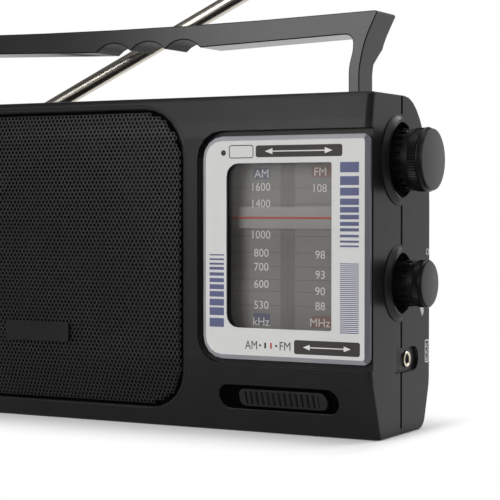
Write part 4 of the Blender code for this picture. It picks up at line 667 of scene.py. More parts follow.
@dataclass
class PrintSheet:
    """Flat ink on a plane, gathered as triangles.

    Args:
        plane: Which way the print faces.
        level: Place of the plane along its axis.
        points: Gathered (across, up) points.
        faces: Gathered triangles.
    """

    plane: Axis
    level: float
    points: list[np.ndarray] = field(default_factory=list)
    faces: list[np.ndarray] = field(default_factory=list)

    def add(self, points: np.ndarray, triangles: np.ndarray) -> None:
        """Adds triangles.

        Args:
            points: (across, up) points.
            triangles: Point numbers, three each.
        """
        start = sum(len(block) for block in self.points)
        self.points.append(points)
        self.faces.append(triangles + start)

    def fan(self, outline: np.ndarray) -> None:
        """Adds a convex outline."""
        middle = np.arange(1, len(outline) - 1)
        self.add(outline, np.stack([np.zeros_like(middle), middle, middle + 1], axis=-1))

    def box(self, span: Span, radius: float = 0.0) -> None:
        """Adds a box, with round corners where a radius is given."""
        self.fan(rounded_box(span, radius))

    def frame_box(self, span: Span, radius: float, line: float) -> None:
        """Adds an outlined box.

        Args:
            span: Left, right, bottom and top.
            radius: Corner radius.
            line: Line width.
        """
        outer = rounded_box(span, radius)
        inner = rounded_box(grown(span, -line), radius - line)
        count = len(outer)
        here = np.arange(count)
        there = (here + 1) % count
        first = np.stack([here, there, there + count], axis=-1)
        second = np.stack([here, there + count, here + count], axis=-1)
        self.add(np.concatenate([outer, inner]), np.concatenate([first, second]))

    def arrow(self, ends: tuple[float, float], middle: float, head: tuple[float, float],
              line: float) -> None:
        """Adds a two-headed arrow that runs across.

        Args:
            ends: Its tips.
            middle: Height of its line.
            head: Length and half height of a head.
            line: Half the line's width.
        """
        left, right = ends[0] + head[0], ends[1] - head[0]
        low, high = middle - head[1], middle + head[1]
        self.fan(np.array([(ends[0], middle), (left, low), (left, high)]))
        self.fan(np.array([(ends[1], middle), (right, high), (right, low)]))
        self.box((left, right, middle - line, middle + line))

    def text(self, words: str, u: float, v: float, height: float, width: float | None = None,
             quarter_turn: bool = False) -> None:
        """Adds lettering centred on a point.

        Args:
            words: What it says.
            u: Centre across.
            v: Centre up.
            height: Height of the letters.
            width: Width to fit, or the natural width.
            quarter_turn: Whether the words run upwards.
        """
        curve = bpy.data.curves.new("lettering", "FONT")
        curve.body = words
        curve.resolution_u = 3
        holder = bpy.data.objects.new("lettering", curve)
        bpy.context.scene.collection.objects.link(holder)
        bpy.context.view_layer.update()
        shape = holder.evaluated_get(bpy.context.evaluated_depsgraph_get())
        mesh = shape.to_mesh()
        mesh.calc_loop_triangles()
        flat = np.empty(len(mesh.vertices) * 3)
        mesh.vertices.foreach_get("co", flat)
        triangles = np.empty(len(mesh.loop_triangles) * 3, dtype=np.int32)
        mesh.loop_triangles.foreach_get("vertices", triangles)
        shape.to_mesh_clear()
        bpy.data.objects.remove(holder)
        bpy.data.curves.remove(curve)
        points = flat.reshape(-1, 3)[:, :2]
        low, high = points.min(axis=0), points.max(axis=0)
        tall = height / (high[1] - low[1])
        wide = tall if width is None else width / (high[0] - low[0])
        points = (points - (low + high) / 2) * (wide, tall)
        if quarter_turn:
            points = np.stack([-points[:, 1], points[:, 0]], axis=-1)
        self.add(points + (u, v), triangles.reshape(-1, 3))

    def put(self, shop: Workshop, name: str, ink: Finish, body: str = "case",
            slot: str = "silver_panel", *nodes: str) -> None:
        """Adds the print as a piece.

        Args:
            shop: Workshop.
            name: Object name.
            ink: Its finish.
            body: CAD body that it moves with.
            slot: Material slot of the record; not used.
            nodes: CAD nodes that it stands for.
        """
        across, up = np.concatenate(self.points).T
        level = np.full(len(up), self.level)
        order = (across, level, up) if self.plane is Axis.FRONT else (level, across, up)
        mesh = bpy.data.meshes.new(name)
        mesh.from_pydata(np.stack(order, axis=-1).tolist(), [],
                         np.concatenate(self.faces).tolist())
        shop.piece(name, mesh, ink, body, slot, *nodes)


@dataclass(frozen=True)
class FrontProfile:
    """Depth of the case's front over its height: flat, with a sloping chin and a leaning brow.

    Args:
        chin: Height of the chin.
        setback: How far the toe is set back.
        brow: Height at which the brow starts.
        lean: How far the brow leans back.
        top: Height of the case.
        ease: Half length of the chin's bend.
        brow_ease: Half length of the brow's bend.
    """

    chin: float = 0.0245
    setback: float = 0.0088
    brow: float = 0.117
    lean: float = 0.0024
    top: float = 0.130
    ease: float = 0.004
    brow_ease: float = 0.003

    @property
    def chin_cosine(self) -> float:
        """Cosine of the chin's slope."""
        return math.cos(math.atan(self.setback / self.chin))

    def place(self, x: np.ndarray, z: np.ndarray, deep: float | np.ndarray) -> np.ndarray:
        """Points on the case's front.

        Args:
            x: Places across.
            z: Heights.
            deep: Depth behind the front's face.

        Returns:
            Points in the row frame.
        """
        low = self._bend(self.chin - z, self.setback / self.chin, self.ease)
        high = self._bend(z - self.brow, self.lean / (self.top - self.brow), self.brow_ease)
        return np.stack([x, FRONT + low + high + deep, z], axis=-1)

    def rings(self, outlines: list[tuple[np.ndarray, float]]) -> np.ndarray:
        """Outlines laid on the front at different depths."""
        return np.stack([self.place(flat[:, 0], flat[:, 1], deep) for flat, deep in outlines])

    @staticmethod
    def _bend(past: np.ndarray, slope: float, ease: float) -> np.ndarray:
        """A slope that sets in along a parabola."""
        curve = slope * (past + ease) ** 2 / (4 * ease)
        return np.where(past <= -ease, 0.0, np.where(past >= ease, slope * past, curve))


@dataclass(frozen=True)
class Cabinet:
    """The shells, the battery door, the plate on the grille and the earphone jack.

    Args:
        shop: Workshop.
    """

    shop: Workshop

    def build(self) -> None:
        """Adds smooth copies of the shells and of the small outer pieces."""
        shells = (("front_cabinet", "case"), ("rear_cabinet", "case"), ("battery_door", "door"))
        for node, body in shells:
            shell = self.shop.copy(node, CHARCOAL, body, "charcoal_plastic", 18.0, True)
            level = shell.modifiers.new("level", "WEIGHTED_NORMAL")
            level.mode = "FACE_AREA"
            level.weight = 100
            level.keep_sharp = True
        self.shop.copy("grille_badge", BADGE_BLACK, "case", "knob_plastic", 20.0)
        self.shop.copy("earphone_jack", KNOB_BLACK, "case", "knob_plastic")
        ring = lathe(np.array(JACK_RING), LATHE_STEPS) + (0.0, *JACK_CENTRE)
        self.shop.surface("jack_ring", ring, JACK_PLATE, "case", "plated_steel", angle=30.0,
                          caps=False)


@dataclass(frozen=True)
class Grille:
    """Perforated sheet over the loudspeaker.

    Args:
        shop: Workshop.
        profile: Front profile that the sheet follows.
        centre: Its middle, as (x, z).
        half: Half its size.
        corner: Corner radius.
        sink: Depth of its face below the front.
        sheet: Thickness.
        pitch: Distance between holes in a row.
        hole: Hole radius.
        border: Plain border.
        sides: Sides of each hole.
        side_steps: Points along a straight side of its outline.
    """

    shop: Workshop
    profile: FrontProfile
    centre: tuple[float, float] = (-0.034, 0.0667)
    half: float = 0.0589
    corner: float = 0.0192
    sink: float = 0.0008
    sheet: float = 0.0007
    pitch: float = 0.0018
    hole: float = 0.00066
    border: float = 0.0008
    sides: int = 12
    side_steps: int = 40

    @property
    def step(self) -> float:
        """Distance between rows of holes."""
        return self.pitch * math.sqrt(3) / 2

    def build(self) -> None:
        """Adds the sheet in two pieces that meet at mid height, its border in near-black as painted
        shade, and the case's lip.
        """
        rows = self._rows()
        middle = len(rows) // 2
        parts = (("grille_lower", rows[:middle], ["speaker_grille"]),
                 ("grille_upper", rows[middle:], []))
        for name, part, nodes in parts:
            self.shop.piece(name, self._perforated(name, part), GRILLE_METAL, "case",
                            "grille_metal", *nodes).data.shade_flat()
        # Near-black border: painted shade of the recess gap round the sheet.
        self.shop.piece("grille_border_shade", self._border(rows), SHADE_BLACK, "case", "grille_metal")
        lip = [(self._outline(grow) + self.centre, deep) for grow, deep in GRILLE_LIP]
        self.shop.surface("grille_lip", self.profile.rings(lip), CHARCOAL, "case",
                          "charcoal_plastic", angle=50.0, caps=False)

    def _outline(self, grow: float) -> np.ndarray:
        """The sheet's outline, with points along its straight sides.

        Args:
            grow: Distance by which it grows outwards.

        Returns:
            Points in order, from the grille's middle.
        """
        half = self.half + grow
        box = rounded_box((-half, half, -half, half), self.corner + grow, CORNER_STEPS)
        arcs = box.reshape(4, CORNER_STEPS + 1, 2)
        share = np.linspace(0.0, 1.0, self.side_steps)[None, 1:-1, None]
        ends = arcs[:, -1:, :]
        starts = np.roll(arcs[:, :1, :], -1, axis=0)
        straight = ends + (starts - ends) * share
        return np.concatenate([arcs, straight], axis=1).reshape(-1, 2)

    def _reach(self, z: float) -> float:
        """Half width of the sheet inside its border at a height.

        Args:
            z: Height from the middle.

        Returns:
            Half width, or a negative number outside it.
        """
        half = self.half - self.border
        corner = self.corner - self.border
        past = abs(z) - (half - corner)
        if past <= 0:
            return half
        if past >= corner:
            return -1.0
        return half - corner + math.sqrt(corner * corner - past * past)

    def _rows(self) -> list[tuple[float, float, int]]:
        """Rows of holes that fit inside the border.

        Returns:
            (height of the row's middle, first cell's left edge, cells) from the middle of the
            grille, bottom up.
        """
        count = int((self.half - self.border) // self.step)
        rows = []
        for number in range(-count, count):
            z = (number + 0.5) * self.step
            reach = min(self._reach(z - self.step / 2), self._reach(z + self.step / 2))
            shift = self.pitch / 2 if number % 2 else 0.0
            before = int((reach + shift) // self.pitch)
            cells = before + int((reach - shift) // self.pitch)
            if cells >= 1:
                rows.append((z, shift - before * self.pitch, cells))
        return rows

    def _bent(self, flat: np.ndarray, deep: float | np.ndarray) -> np.ndarray:
        """Places points of the flat sheet on the case's front."""
        x, z = np.moveaxis(flat + self.centre, -1, 0)
        return self.profile.place(x, z, self.sink + deep).reshape(-1, 3)

    def _perforated(self, name: str, rows: list[tuple[float, float, int]]) -> bpy.types.Mesh:
        """Cells with a round hole each, with the hole's wall.

        Args:
            name: Mesh name.
            rows: Rows of holes.

        Returns:
            The mesh.
        """
        sides = self.sides
        turn = np.linspace(0, 2 * np.pi, sides, endpoint=False)
        ring = np.stack([np.cos(turn), np.sin(turn)], axis=-1)
        cell = ring / np.abs(ring).max(axis=1, keepdims=True) * (self.pitch / 2, self.step / 2)
        centres = np.concatenate([
            np.stack([left + (np.arange(cells) + 0.5) * self.pitch, np.full(cells, z)], axis=-1)
            for z, left, cells in rows])
        flat = np.concatenate([cell, ring * self.hole, ring * self.hole])
        deep = np.repeat([0.0, 0.0, self.sheet], sides)
        points = self._bent(centres[:, None, :] + flat, deep)
        here = np.arange(sides)
        there = (here + 1) % sides
        band = np.stack([here, there, there + sides, here + sides], axis=-1)
        quads = np.concatenate([band, band + sides])
        starts = np.arange(len(centres)) * 3 * sides
        faces = (quads + starts[:, None, None]).reshape(-1, 4)
        mesh = bpy.data.meshes.new(name)
        mesh.from_pydata(points.tolist(), [], faces.tolist())
        return mesh

    def _border(self, rows: list[tuple[float, float, int]]) -> bpy.types.Mesh:
        """The plain border between the holes and the edge.

        Args:
            rows: Rows of holes.

        Returns:
            The mesh.
        """
        middles, lefts, cells = np.array(rows).T
        bottoms = middles - self.step / 2
        stairs = np.stack([bottoms, bottoms + self.step], axis=-1).reshape(-1)
        up = np.stack([np.repeat(lefts + cells * self.pitch, 2), stairs], axis=-1)
        down = np.stack([np.repeat(lefts, 2), stairs], axis=-1)[::-1]
        loops = [self._outline(0.0), np.concatenate([up, down])]
        triangles = tessellate_polygon([np.pad(loop, ((0, 0), (0, 1))).tolist() for loop in loops])
        mesh = bpy.data.meshes.new("grille_border_shade")
        mesh.from_pydata(self._bent(np.concatenate(loops), 0.0).tolist(), [], triangles)
        return mesh


@dataclass(frozen=True)
class DialPanel:
    """Silver bezel with its prints, the window, the scale and the pointer.

    Args:
        shop: Workshop.
        scale_depth: Depth of the scale's plate behind the front plane.
    """

    shop: Workshop
    scale_depth: float = 0.009

    def build(self) -> None:
        """Adds the bezel, the lens, the prints, the scale and the pointer."""
        self._bezel()
        glass = clear_glass("clear_window", (0.96, 0.96, 0.955), 0.02)
        lens = self.shop.copy("dial_lens", glass, "case", "clear_window", 10.0, True)
        lens.data.shade_flat()
        self._stripes()
        self._legends()
        self._scale()
        self._pointer()

    def _bezel(self) -> None:
        """Adds the bezel; its slanted faces get a bluish clear-edge colour, painted darker where
        they face right as painted shade and paler elsewhere as painted highlight.
        """
        bezel = self.shop.copy("dial_bezel", SILVER, "case", "silver_panel", 12.0, True).data
        across, ahead, _ = face_values(bezel, "normal").T
        slant = ahead > -0.95
        # Slanted faces turned right get the painted-shade edge colour, the other slanted faces the
        # painted-highlight one.
        index = np.where(slant & (across > 0.3), 1, np.where(slant, 2, 0))
        paint(bezel, index, ACRYLIC_EDGE_SHADE, ACRYLIC_EDGE_HIGHLIGHT)

    def _stripes(self) -> None:
        """Adds the stripes on the silver face."""
        navy = PrintSheet(Axis.FRONT, FRONT - INK)
        for top, high in STRIPES_RIGHT:
            navy.box((*STRIPE_RIGHT_X, top - high, top))
        for low, high in STRIPES_LEFT:
            navy.box((*STRIPE_LEFT_X, low, low + high))
        for z in np.linspace(*FINE_STRIPES).tolist():
            navy.box((*STRIPE_RIGHT_X, z, z + FINE_HEIGHT))
        navy.put(self.shop, "navy_stripes", NAVY_INK)

    def _legends(self) -> None:
        """Adds the pills and legends on the silver face."""
        dark = PrintSheet(Axis.FRONT, FRONT - INK)
        for pill in PILLS:
            dark.box(pill, PILL_ROUND)
        dark.frame_box(EMPTY_PILL, DOT_ROUND, 0.00035)
        dark.box(TUNE_DOT, DOT_ROUND)
        dark.text("AM", 0.0553, BAND_Z, 0.0032, 0.0052)
        dark.text("FM", 0.0699, BAND_Z, 0.0032, 0.0046)
        for x, high in BAND_DOTS:
            dark.box((x - BAND_DOT_HALF, x + BAND_DOT_HALF, BAND_Z - high, BAND_Z + high))
        dark.put(self.shop, "dark_legends", DARK_INK)
        red = PrintSheet(Axis.FRONT, FRONT - INK)
        red.box(RED_DOT)
        red.put(self.shop, "red_legend", RED_INK)
        pale = PrintSheet(Axis.FRONT, FRONT - 2 * INK)
        pale.arrow((0.0613, 0.0897), 0.10835, (0.0032, 0.00115), 0.0002)
        pale.arrow((0.0775, 0.0972), 0.03465, (0.0028, 0.00105), 0.00018)
        pale.put(self.shop, "pale_legends", WHITE_INK)

    def _scale(self) -> None:
        """Adds the numbers, lines and patches on the plate behind the window."""
        level = FRONT + self.scale_depth - INK
        column = PrintSheet(Axis.FRONT, level)
        column.box(SCALE_COLUMN)
        column.put(self.shop, "scale_column", COLUMN_INK)
        lines = PrintSheet(Axis.FRONT, level - INK)
        for z in SCALE_LINES:
            lines.box((SCALE_ENDS[0], SCALE_COLUMN[0], z, z + SCALE_LINE))
            lines.box((SCALE_COLUMN[1], SCALE_ENDS[1], z, z + SCALE_LINE))
        for word, z in COLUMN_DIGITS:
            lines.text(word, (SCALE_COLUMN[0] + SCALE_COLUMN[1]) / 2, z, DIGIT_HEIGHT)
        lines.put(self.shop, "scale_lines", LINE_INK)
        for name, ink, patches in (("scale_blue", BLUE_PATCH, BLUE_PATCHES),
                                   ("scale_brown", BROWN_PATCH, BROWN_PATCHES)):
            sheet = PrintSheet(Axis.FRONT, level - INK)
            for patch in patches:
                sheet.box(patch, PATCH_ROUND)
            sheet.put(self.shop, name, ink)
        white = PrintSheet(Axis.FRONT, level - 2 * INK)
        for x, words in ((0.0549, AM_WORDS), (0.0802, FM_WORDS)):
            for word, z in words:
                white.text(word, x, z, WORD_HEIGHT)
        white.put(self.shop, "scale_numbers", WHITE_INK)

    def _pointer(self) -> None:
        """Adds the pointer's clear band and the red line that runs past its left end."""
        low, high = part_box("dial_pointer")
        band = PrintSheet(Axis.FRONT, low[1])
        band.box((low[0] + POINTER_BARE, high[0], low[2], high[2]))
        band.put(self.shop, "dial_pointer_look", POINTER_PALE, "pointer", "pointer_pale",
                 "dial_pointer")
        red = PrintSheet(Axis.FRONT, low[1] - INK)
        middle = (low[2] + high[2]) / 2
        red.box((low[0], high[0], middle - POINTER_HALF, middle + POINTER_HALF))
        red.put(self.shop, "pointer_line", RED_INK, "pointer")


@dataclass(frozen=True)
class BandSlider:
    """Ridged slider of the band switch on the sloping chin, in its pocket, which is lined near-black
    as painted shade.

    Args:
        shop: Workshop.
        profile: Front profile.
        left: Left end.
        right: Right end.
        middle: Height of its middle.
        height: Height across.
        proud: Height over the chin.
        thick: Depth of its back behind the chin.
        end: Radius of its ends.
        end_steps: Steps round an end.
        border: Plain length at the left and at the right.
        ridges: Number of grooves.
        ridge_steps: Steps along a groove.
        end_drops: How far the first and second cross sections of an end drop.
    """

    shop: Workshop
    profile: FrontProfile
    left: float = 0.0484
    right: float = 0.0861
    middle: float = 0.0141
    height: float = 0.0069
    proud: float = 0.0008
    thick: float = 0.0010
    end: float = 0.0028
    end_steps: int = 10
    border: tuple[float, float] = (0.0030, 0.0033)
    ridges: int = 13
    ridge_steps: int = 27
    end_drops: tuple[float, float] = (0.0004, 0.00015)

    def build(self) -> None:
        """Adds the slider, the rim of its slot and the pocket's near-black lining of painted shade.
        """
        self.shop.surface("band_switch_knob_look", self._slider(), KNOB_BLACK, "band",
                          "knob_plastic", "band_switch_knob", angle=30.0)
        cosine = self.profile.chin_cosine
        rim = [(rounded_box(grown(SLOT_BOX, grow), SLOT_ROUND + grow, CORNER_STEPS), deep / cosine)
               for grow, deep in SLOT_LIP]
        self.shop.surface("switch_rim", self.profile.rings(rim), CHARCOAL, "case",
                          "charcoal_plastic", angle=50.0, caps=False)
        # A near-black lining over the pocket's walls and floor: painted shade.
        outline = rounded_box(SLOT_BOX, SLOT_ROUND, CORNER_STEPS)
        centre = outline.mean(axis=0)
        pocket = self.profile.rings([(centre + (outline - centre) * share, deep / cosine)
                                     for share, deep in SLOT_POCKET])
        self.shop.piece("switch_pocket_shade", grid_mesh("switch_pocket_shade", pocket, True, False), SHADE_BLACK,
                        "case", "charcoal_plastic")

    def _slider(self) -> np.ndarray:
        """The slider as a strip of closed cross sections along X.

        Returns:
            Points as (cross sections, points, 3).
        """
        turn = np.linspace(0.12, np.pi / 2, self.end_steps)
        inset = self.end * (1 - np.cos(turn))
        narrow = self.end * (1 - np.sin(turn))
        first, last = self.left + self.border[0], self.right - self.border[1]
        ribbed = np.linspace(first, last, self.ridge_steps * self.ridges)
        x = np.concatenate([self.left + inset, ribbed, self.right - inset[::-1]])
        half = np.full(len(x), self.height / 2)
        half[:self.end_steps] -= narrow
        half[-self.end_steps:] -= narrow[::-1]
        wave = np.abs(np.sin((x - first) / (last - first) * np.pi * self.ridges))
        wave[(x <= first) | (x >= last)] = 1.0
        groove = 0.95 * np.clip(1 - wave * 1.4, 0, 1)
        lift = self.proud * (1 - groove[:, None] * (np.abs(SLIDER_EDGE) < 0.7)) - SLIDER_DROP
        lift[[0, -1]] -= self.end_drops[0]
        lift[[1, -2]] -= self.end_drops[1]
        z = self.middle + SLIDER_EDGE * half[:, None]
        back = z[:, [-1, 0]]
        deep = np.concatenate([-lift, np.full(back.shape, self.thick)], axis=1)
        up = np.concatenate([z, back], axis=1)
        across = np.repeat(x[:, None], up.shape[1], axis=1)
        return self.profile.place(across, up, deep / self.profile.chin_cosine)


@dataclass(frozen=True)
class SideKnob:
    """A turned knob on the right side: cap, knurled ring and notched neck, in a raised collar.

    Args:
        shop: Workshop.
        body: Body that it turns with, which also starts the names of its pieces.
        z: Height of its axis.
        radius: Radius of the cap.
        reach: Face of the cap from the side of the case.
        neck: Radius of the neck.
        rim: Length of the cap.
        knurl: Length of the knurled ring.
        plain: Length of the plain neck next to it.
        teeth: Number of teeth in the knurl.
        notches: Notches round the neck.
        well: Radius of the well in the case.
        sunk: Depth of the neck's foot in the case.
        notched: Length of the notched neck.
    """

    shop: Workshop
    body: str
    z: float
    radius: float
    reach: float
    neck: float
    rim: float
    knurl: float
    plain: float
    teeth: int
    notches: int
    well: float
    sunk: float = 0.0047
    notched: float = 0.0032

    def build(self) -> None:
        """Adds the knob, with a duller finish on all but its face."""
        name = self.body + "_knob"
        segments = self.teeth * 6
        turn = np.linspace(0, 2 * np.pi, segments, endpoint=False)
        profile = self._profile()
        relief = np.zeros((len(profile), segments))
        relief[6:8] = 0.0002 * np.cos(turn * self.teeth)
        relief[2:4] = np.where(np.cos(turn * self.notches) > 0.2, 0.0, -0.0008)
        grid = lathe(profile, segments, relief) + (0.0, PARTING, self.z)
        knob = self.shop.surface(name + "_look", grid, KNOB_BLACK, self.body, "knob_plastic",
                                 name, angle=24.0).data
        paint(knob, face_values(knob, "normal")[:, 0] < 0.6, KNOB_SIDE)

    def collar(self) -> None:
        """Adds the collar on the front shell: a stepped foot, a sloping band and a crown."""
        rows = np.stack([self._arc(shift, self.well + past, rise)
                         for shift, past, rise in COLLAR_SECTION])
        self.shop.surface(self.body + "_collar", rows, CHARCOAL, "case", "charcoal_plastic",
                          angle=14.0, wrap=False, caps=False)

    def _profile(self) -> np.ndarray:
        """The knob's section, from the foot of its neck to the middle of its face.

        Returns:
            (along, radius) pairs.
        """
        face = SIDE + self.reach
        rim = face - self.rim
        knurl_end = rim - self.knurl
        teeth_top = knurl_end - self.plain
        teeth_foot = teeth_top - self.notched
        wide, neck = self.radius, self.neck
        return np.array([
            (SIDE - self.sunk, neck - 0.0006), (teeth_foot, neck - 0.0006),
            (teeth_foot + 0.0001, neck), (teeth_top - 0.0001, neck),
            (teeth_top, neck - 0.0001), (knurl_end, neck - 0.0001),
            (knurl_end + 0.0001, wide - 0.0004), (rim - 0.0004, wide - 0.0004),
            (rim - 0.0002, wide - 0.0007), (rim, wide - 0.0002), (rim + 0.0002, wide),
            (rim + 0.0005, wide), (rim + 0.0009, wide - 0.0003),
            (face - 0.0006, wide - 0.0006), (face - 0.0003, wide - 0.0006),
            (face - 0.0001, wide - 0.0007), (face, wide - 0.0009),
            (face + 0.0001, wide - 0.0014), (face + 0.00015, 0.0004)])

    def _arc(self, shift: float, radius: float, rise: float) -> np.ndarray:
        """The part of a circle that lies ahead of the parting line.

        Args:
            shift: Distance of its middle ahead of the knob's axis.
            radius: Radius.
            rise: Height above the side of the case.

        Returns:
            Points in order.
        """
        end = math.acos((SEAM_GAP - shift) / radius)
        turn = np.linspace(-end, end, COLLAR_STEPS)
        return np.stack([np.full(COLLAR_STEPS, SIDE + rise),
                         PARTING - shift - radius * np.cos(turn),
                         self.z + radius * np.sin(turn)], axis=-1)


@dataclass(frozen=True)
class Handle:
    """Carry handle with softened edges; the undersides of its finger hollows are darker and duller
    as painted shade.

    Args:
        shop: Workshop.
        edge: Radius of its edges.
    """

    shop: Workshop
    edge: float = 0.0011

    def build(self) -> None:
        """Adds a copy of the handle with bevelled edges."""
        obj = self.shop.copy("carry_handle", HANDLE_BLACK, "handle", "charcoal_plastic",
                             flatten=True)
        # Downward faces within the finger hollows get the darker, duller copy as painted shade.
        down = face_values(obj.data, "normal")[:, 2] < -0.3
        inside = np.abs(face_values(obj.data, "center")[:, 0]) < SCALLOP_REACH
        paint(obj.data, down & inside, GRIP_UNDER_SHADE)
        bevel = obj.modifiers.new("soft_edges", "BEVEL")
        bevel.width = self.edge
        bevel.segments = 4
        bevel.limit_method = "ANGLE"
        bevel.angle_limit = math.radians(50)
        bevel.use_clamp_overlap = True
        bevel.harden_normals = True


@dataclass(frozen=True)
class Antenna:
    """Chromed sections of the telescopic antenna, turned at a finer step than the CAD.

    Args:
        shop: Workshop.
        pivot: Pivot's place.
        tilt: Tilt at rest in degrees.
        outer: Radius of the widest section.
        step: Radius lost from one section to the next.
        wall: Thickness of a tube.
        length: End of the widest section from the pivot.
        stagger: How much further each following section ends.
        start: Start of the widest section.
        nested: Start of the second section.
        soft: Width of the chamfers at a tube's ends.
        last: How far the innermost section runs past the others' stagger, and half the tip.
        tip: Radius of the tip.
    """

    shop: Workshop
    pivot: Triple = (-0.095, 0.0206, 0.1207)
    tilt: float = 24.3
    outer: float = 0.0033
    step: float = 0.00055
    wall: float = 0.0003
    length: float = 0.1745
    stagger: float = 0.0015
    start: float = 0.009
    nested: float = 0.024
    soft: float = 0.00012
    last: float = 0.003
    tip: float = 0.0031

    def build(self) -> None:
        """Adds the sections, the tip and the base."""
        bodies = ("antenna_arm", "antenna_2", "antenna_3", "antenna_4", "antenna_5")
        for number, body in enumerate(bodies):
            self._turned(f"antenna_section_{number + 1}", self._section(number), body)
        turn = np.linspace(-np.pi / 2, np.pi / 2, 24)
        middle = self.length + 4 * self.stagger + 0.0003 + self.last
        cap = np.stack([middle + self.last * np.sin(turn),
                        np.maximum(self.tip * np.cos(turn) ** 0.45, 0.0004)], axis=-1)
        self._turned("antenna_tip", cap, bodies[-1])
        self.shop.copy("antenna_base", CHROME, "antenna_arm", "antenna_chrome")

    def _section(self, number: int) -> np.ndarray:
        """Profile of a section: a tube with a rolled groove, or the solid innermost rod.

        Args:
            number: Number of the section, from 0 for the widest.

        Returns:
            (along, radius) pairs.
        """
        soft = self.soft
        radius = self.outer - number * self.step
        start = self.start if number == 0 else self.nested + (number - 1) * self.stagger
        end = self.length + number * self.stagger
        if number == 4:
            return np.array([(start, radius), (end + self.last, radius)])
        bore = max(radius - self.wall, 0.0002)
        return np.array([
            (start, bore), (start, radius - soft), (start + soft, radius), (end - 0.004, radius),
            (end - 0.0032, radius - 0.0001), (end - 0.0024, radius), (end - soft, radius),
            (end, radius - soft), (end, bore)])

    def _turned(self, node: str, profile: np.ndarray, body: str) -> None:
        """Adds a piece turned along the antenna.

        Args:
            node: CAD node that it stands for.
            profile: (along, radius) pairs.
            body: Body that it rides on.
        """
        along, across, up = np.moveaxis(lathe(profile, LATHE_STEPS), -1, 0)
        angle = math.radians(self.tilt)
        cosine, sine = math.cos(angle), math.sin(angle)
        grid = np.stack([along * cosine - up * sine, across, along * sine + up * cosine], axis=-1)
        self.shop.surface(node + "_look", grid + self.pivot, CHROME, body, "antenna_chrome", node,
                          angle=40.0)


def side_prints(shop: Workshop) -> None:
    """Adds the switch-off mark, the volume wedge and the earphone mark on the right side.

    Args:
        shop: Workshop.
    """
    sheet = PrintSheet(Axis.RIGHT, SIDE + INK)
    sheet.text("0", 0.0268, 0.0696, 0.0026, 0.0032)
    sheet.fan(np.array(VOLUME_WEDGE))
    sheet.frame_box(EAR_FRAME, 0.0008, 0.0006)
    sheet.text("EAR", 0.0263, 0.03045, 0.0022, 0.0070, True)
    sheet.put(shop, "side_marks", MARK_INK, "case", "charcoal_plastic")


@dataclass(frozen=True)
class Lamp:
    """A soft light.

    Args:
        name: Name.
        place: Where it hangs.
        aim: What it points at.
        size: Width and height.
        power: Power in watts.
        gloss: Whether it shows in reflections.
    """

    name: str
    place: Triple
    aim: Triple
    size: tuple[float, float]
    power: float
    gloss: bool = True

    def hang(self) -> None:
        """Adds the light."""
        data = bpy.data.lights.new(self.name, "AREA")
        data.shape = "RECTANGLE"
        data.size, data.size_y = self.size
        data.energy = self.power
        obj = bpy.data.objects.new(self.name, data)
        obj.location = self.place
        obj.visible_glossy = self.gloss
        x, y, z = np.array(self.aim) - np.array(self.place)
        obj.rotation_euler = (math.atan2(math.hypot(x, y), -z), 0.0, math.atan2(-x, y))
        bpy.context.scene.collection.objects.link(obj)


LAMPS = (
    Lamp("front_left", (-0.405, -1.176, 0.44), (0.0, 0.0, 0.10), (0.55, 0.6), 7.0),
    Lamp("back_right", (0.564, 0.805, 0.889), (0.03, 0.0, 0.09), (0.6, 0.6), 8.0),
    Lamp("top", (0.0, 0.10, 1.10), (0.0, 0.0, 0.05), (0.8, 0.8), 3.5),
    Lamp("front_top", (-0.25, -0.75, 1.0), (0.0, 0.0, 0.10), (0.6, 0.15), 3.0),
    Lamp("fill", (-0.40, -1.0, 0.06), (0.0, 0.0, 0.08), (0.8, 0.35), 7.5, False),
    Lamp("right_fill", (0.70, -1.0, 0.25), (0.05, 0.0, 0.08), (0.6, 0.5), 3.0, False))


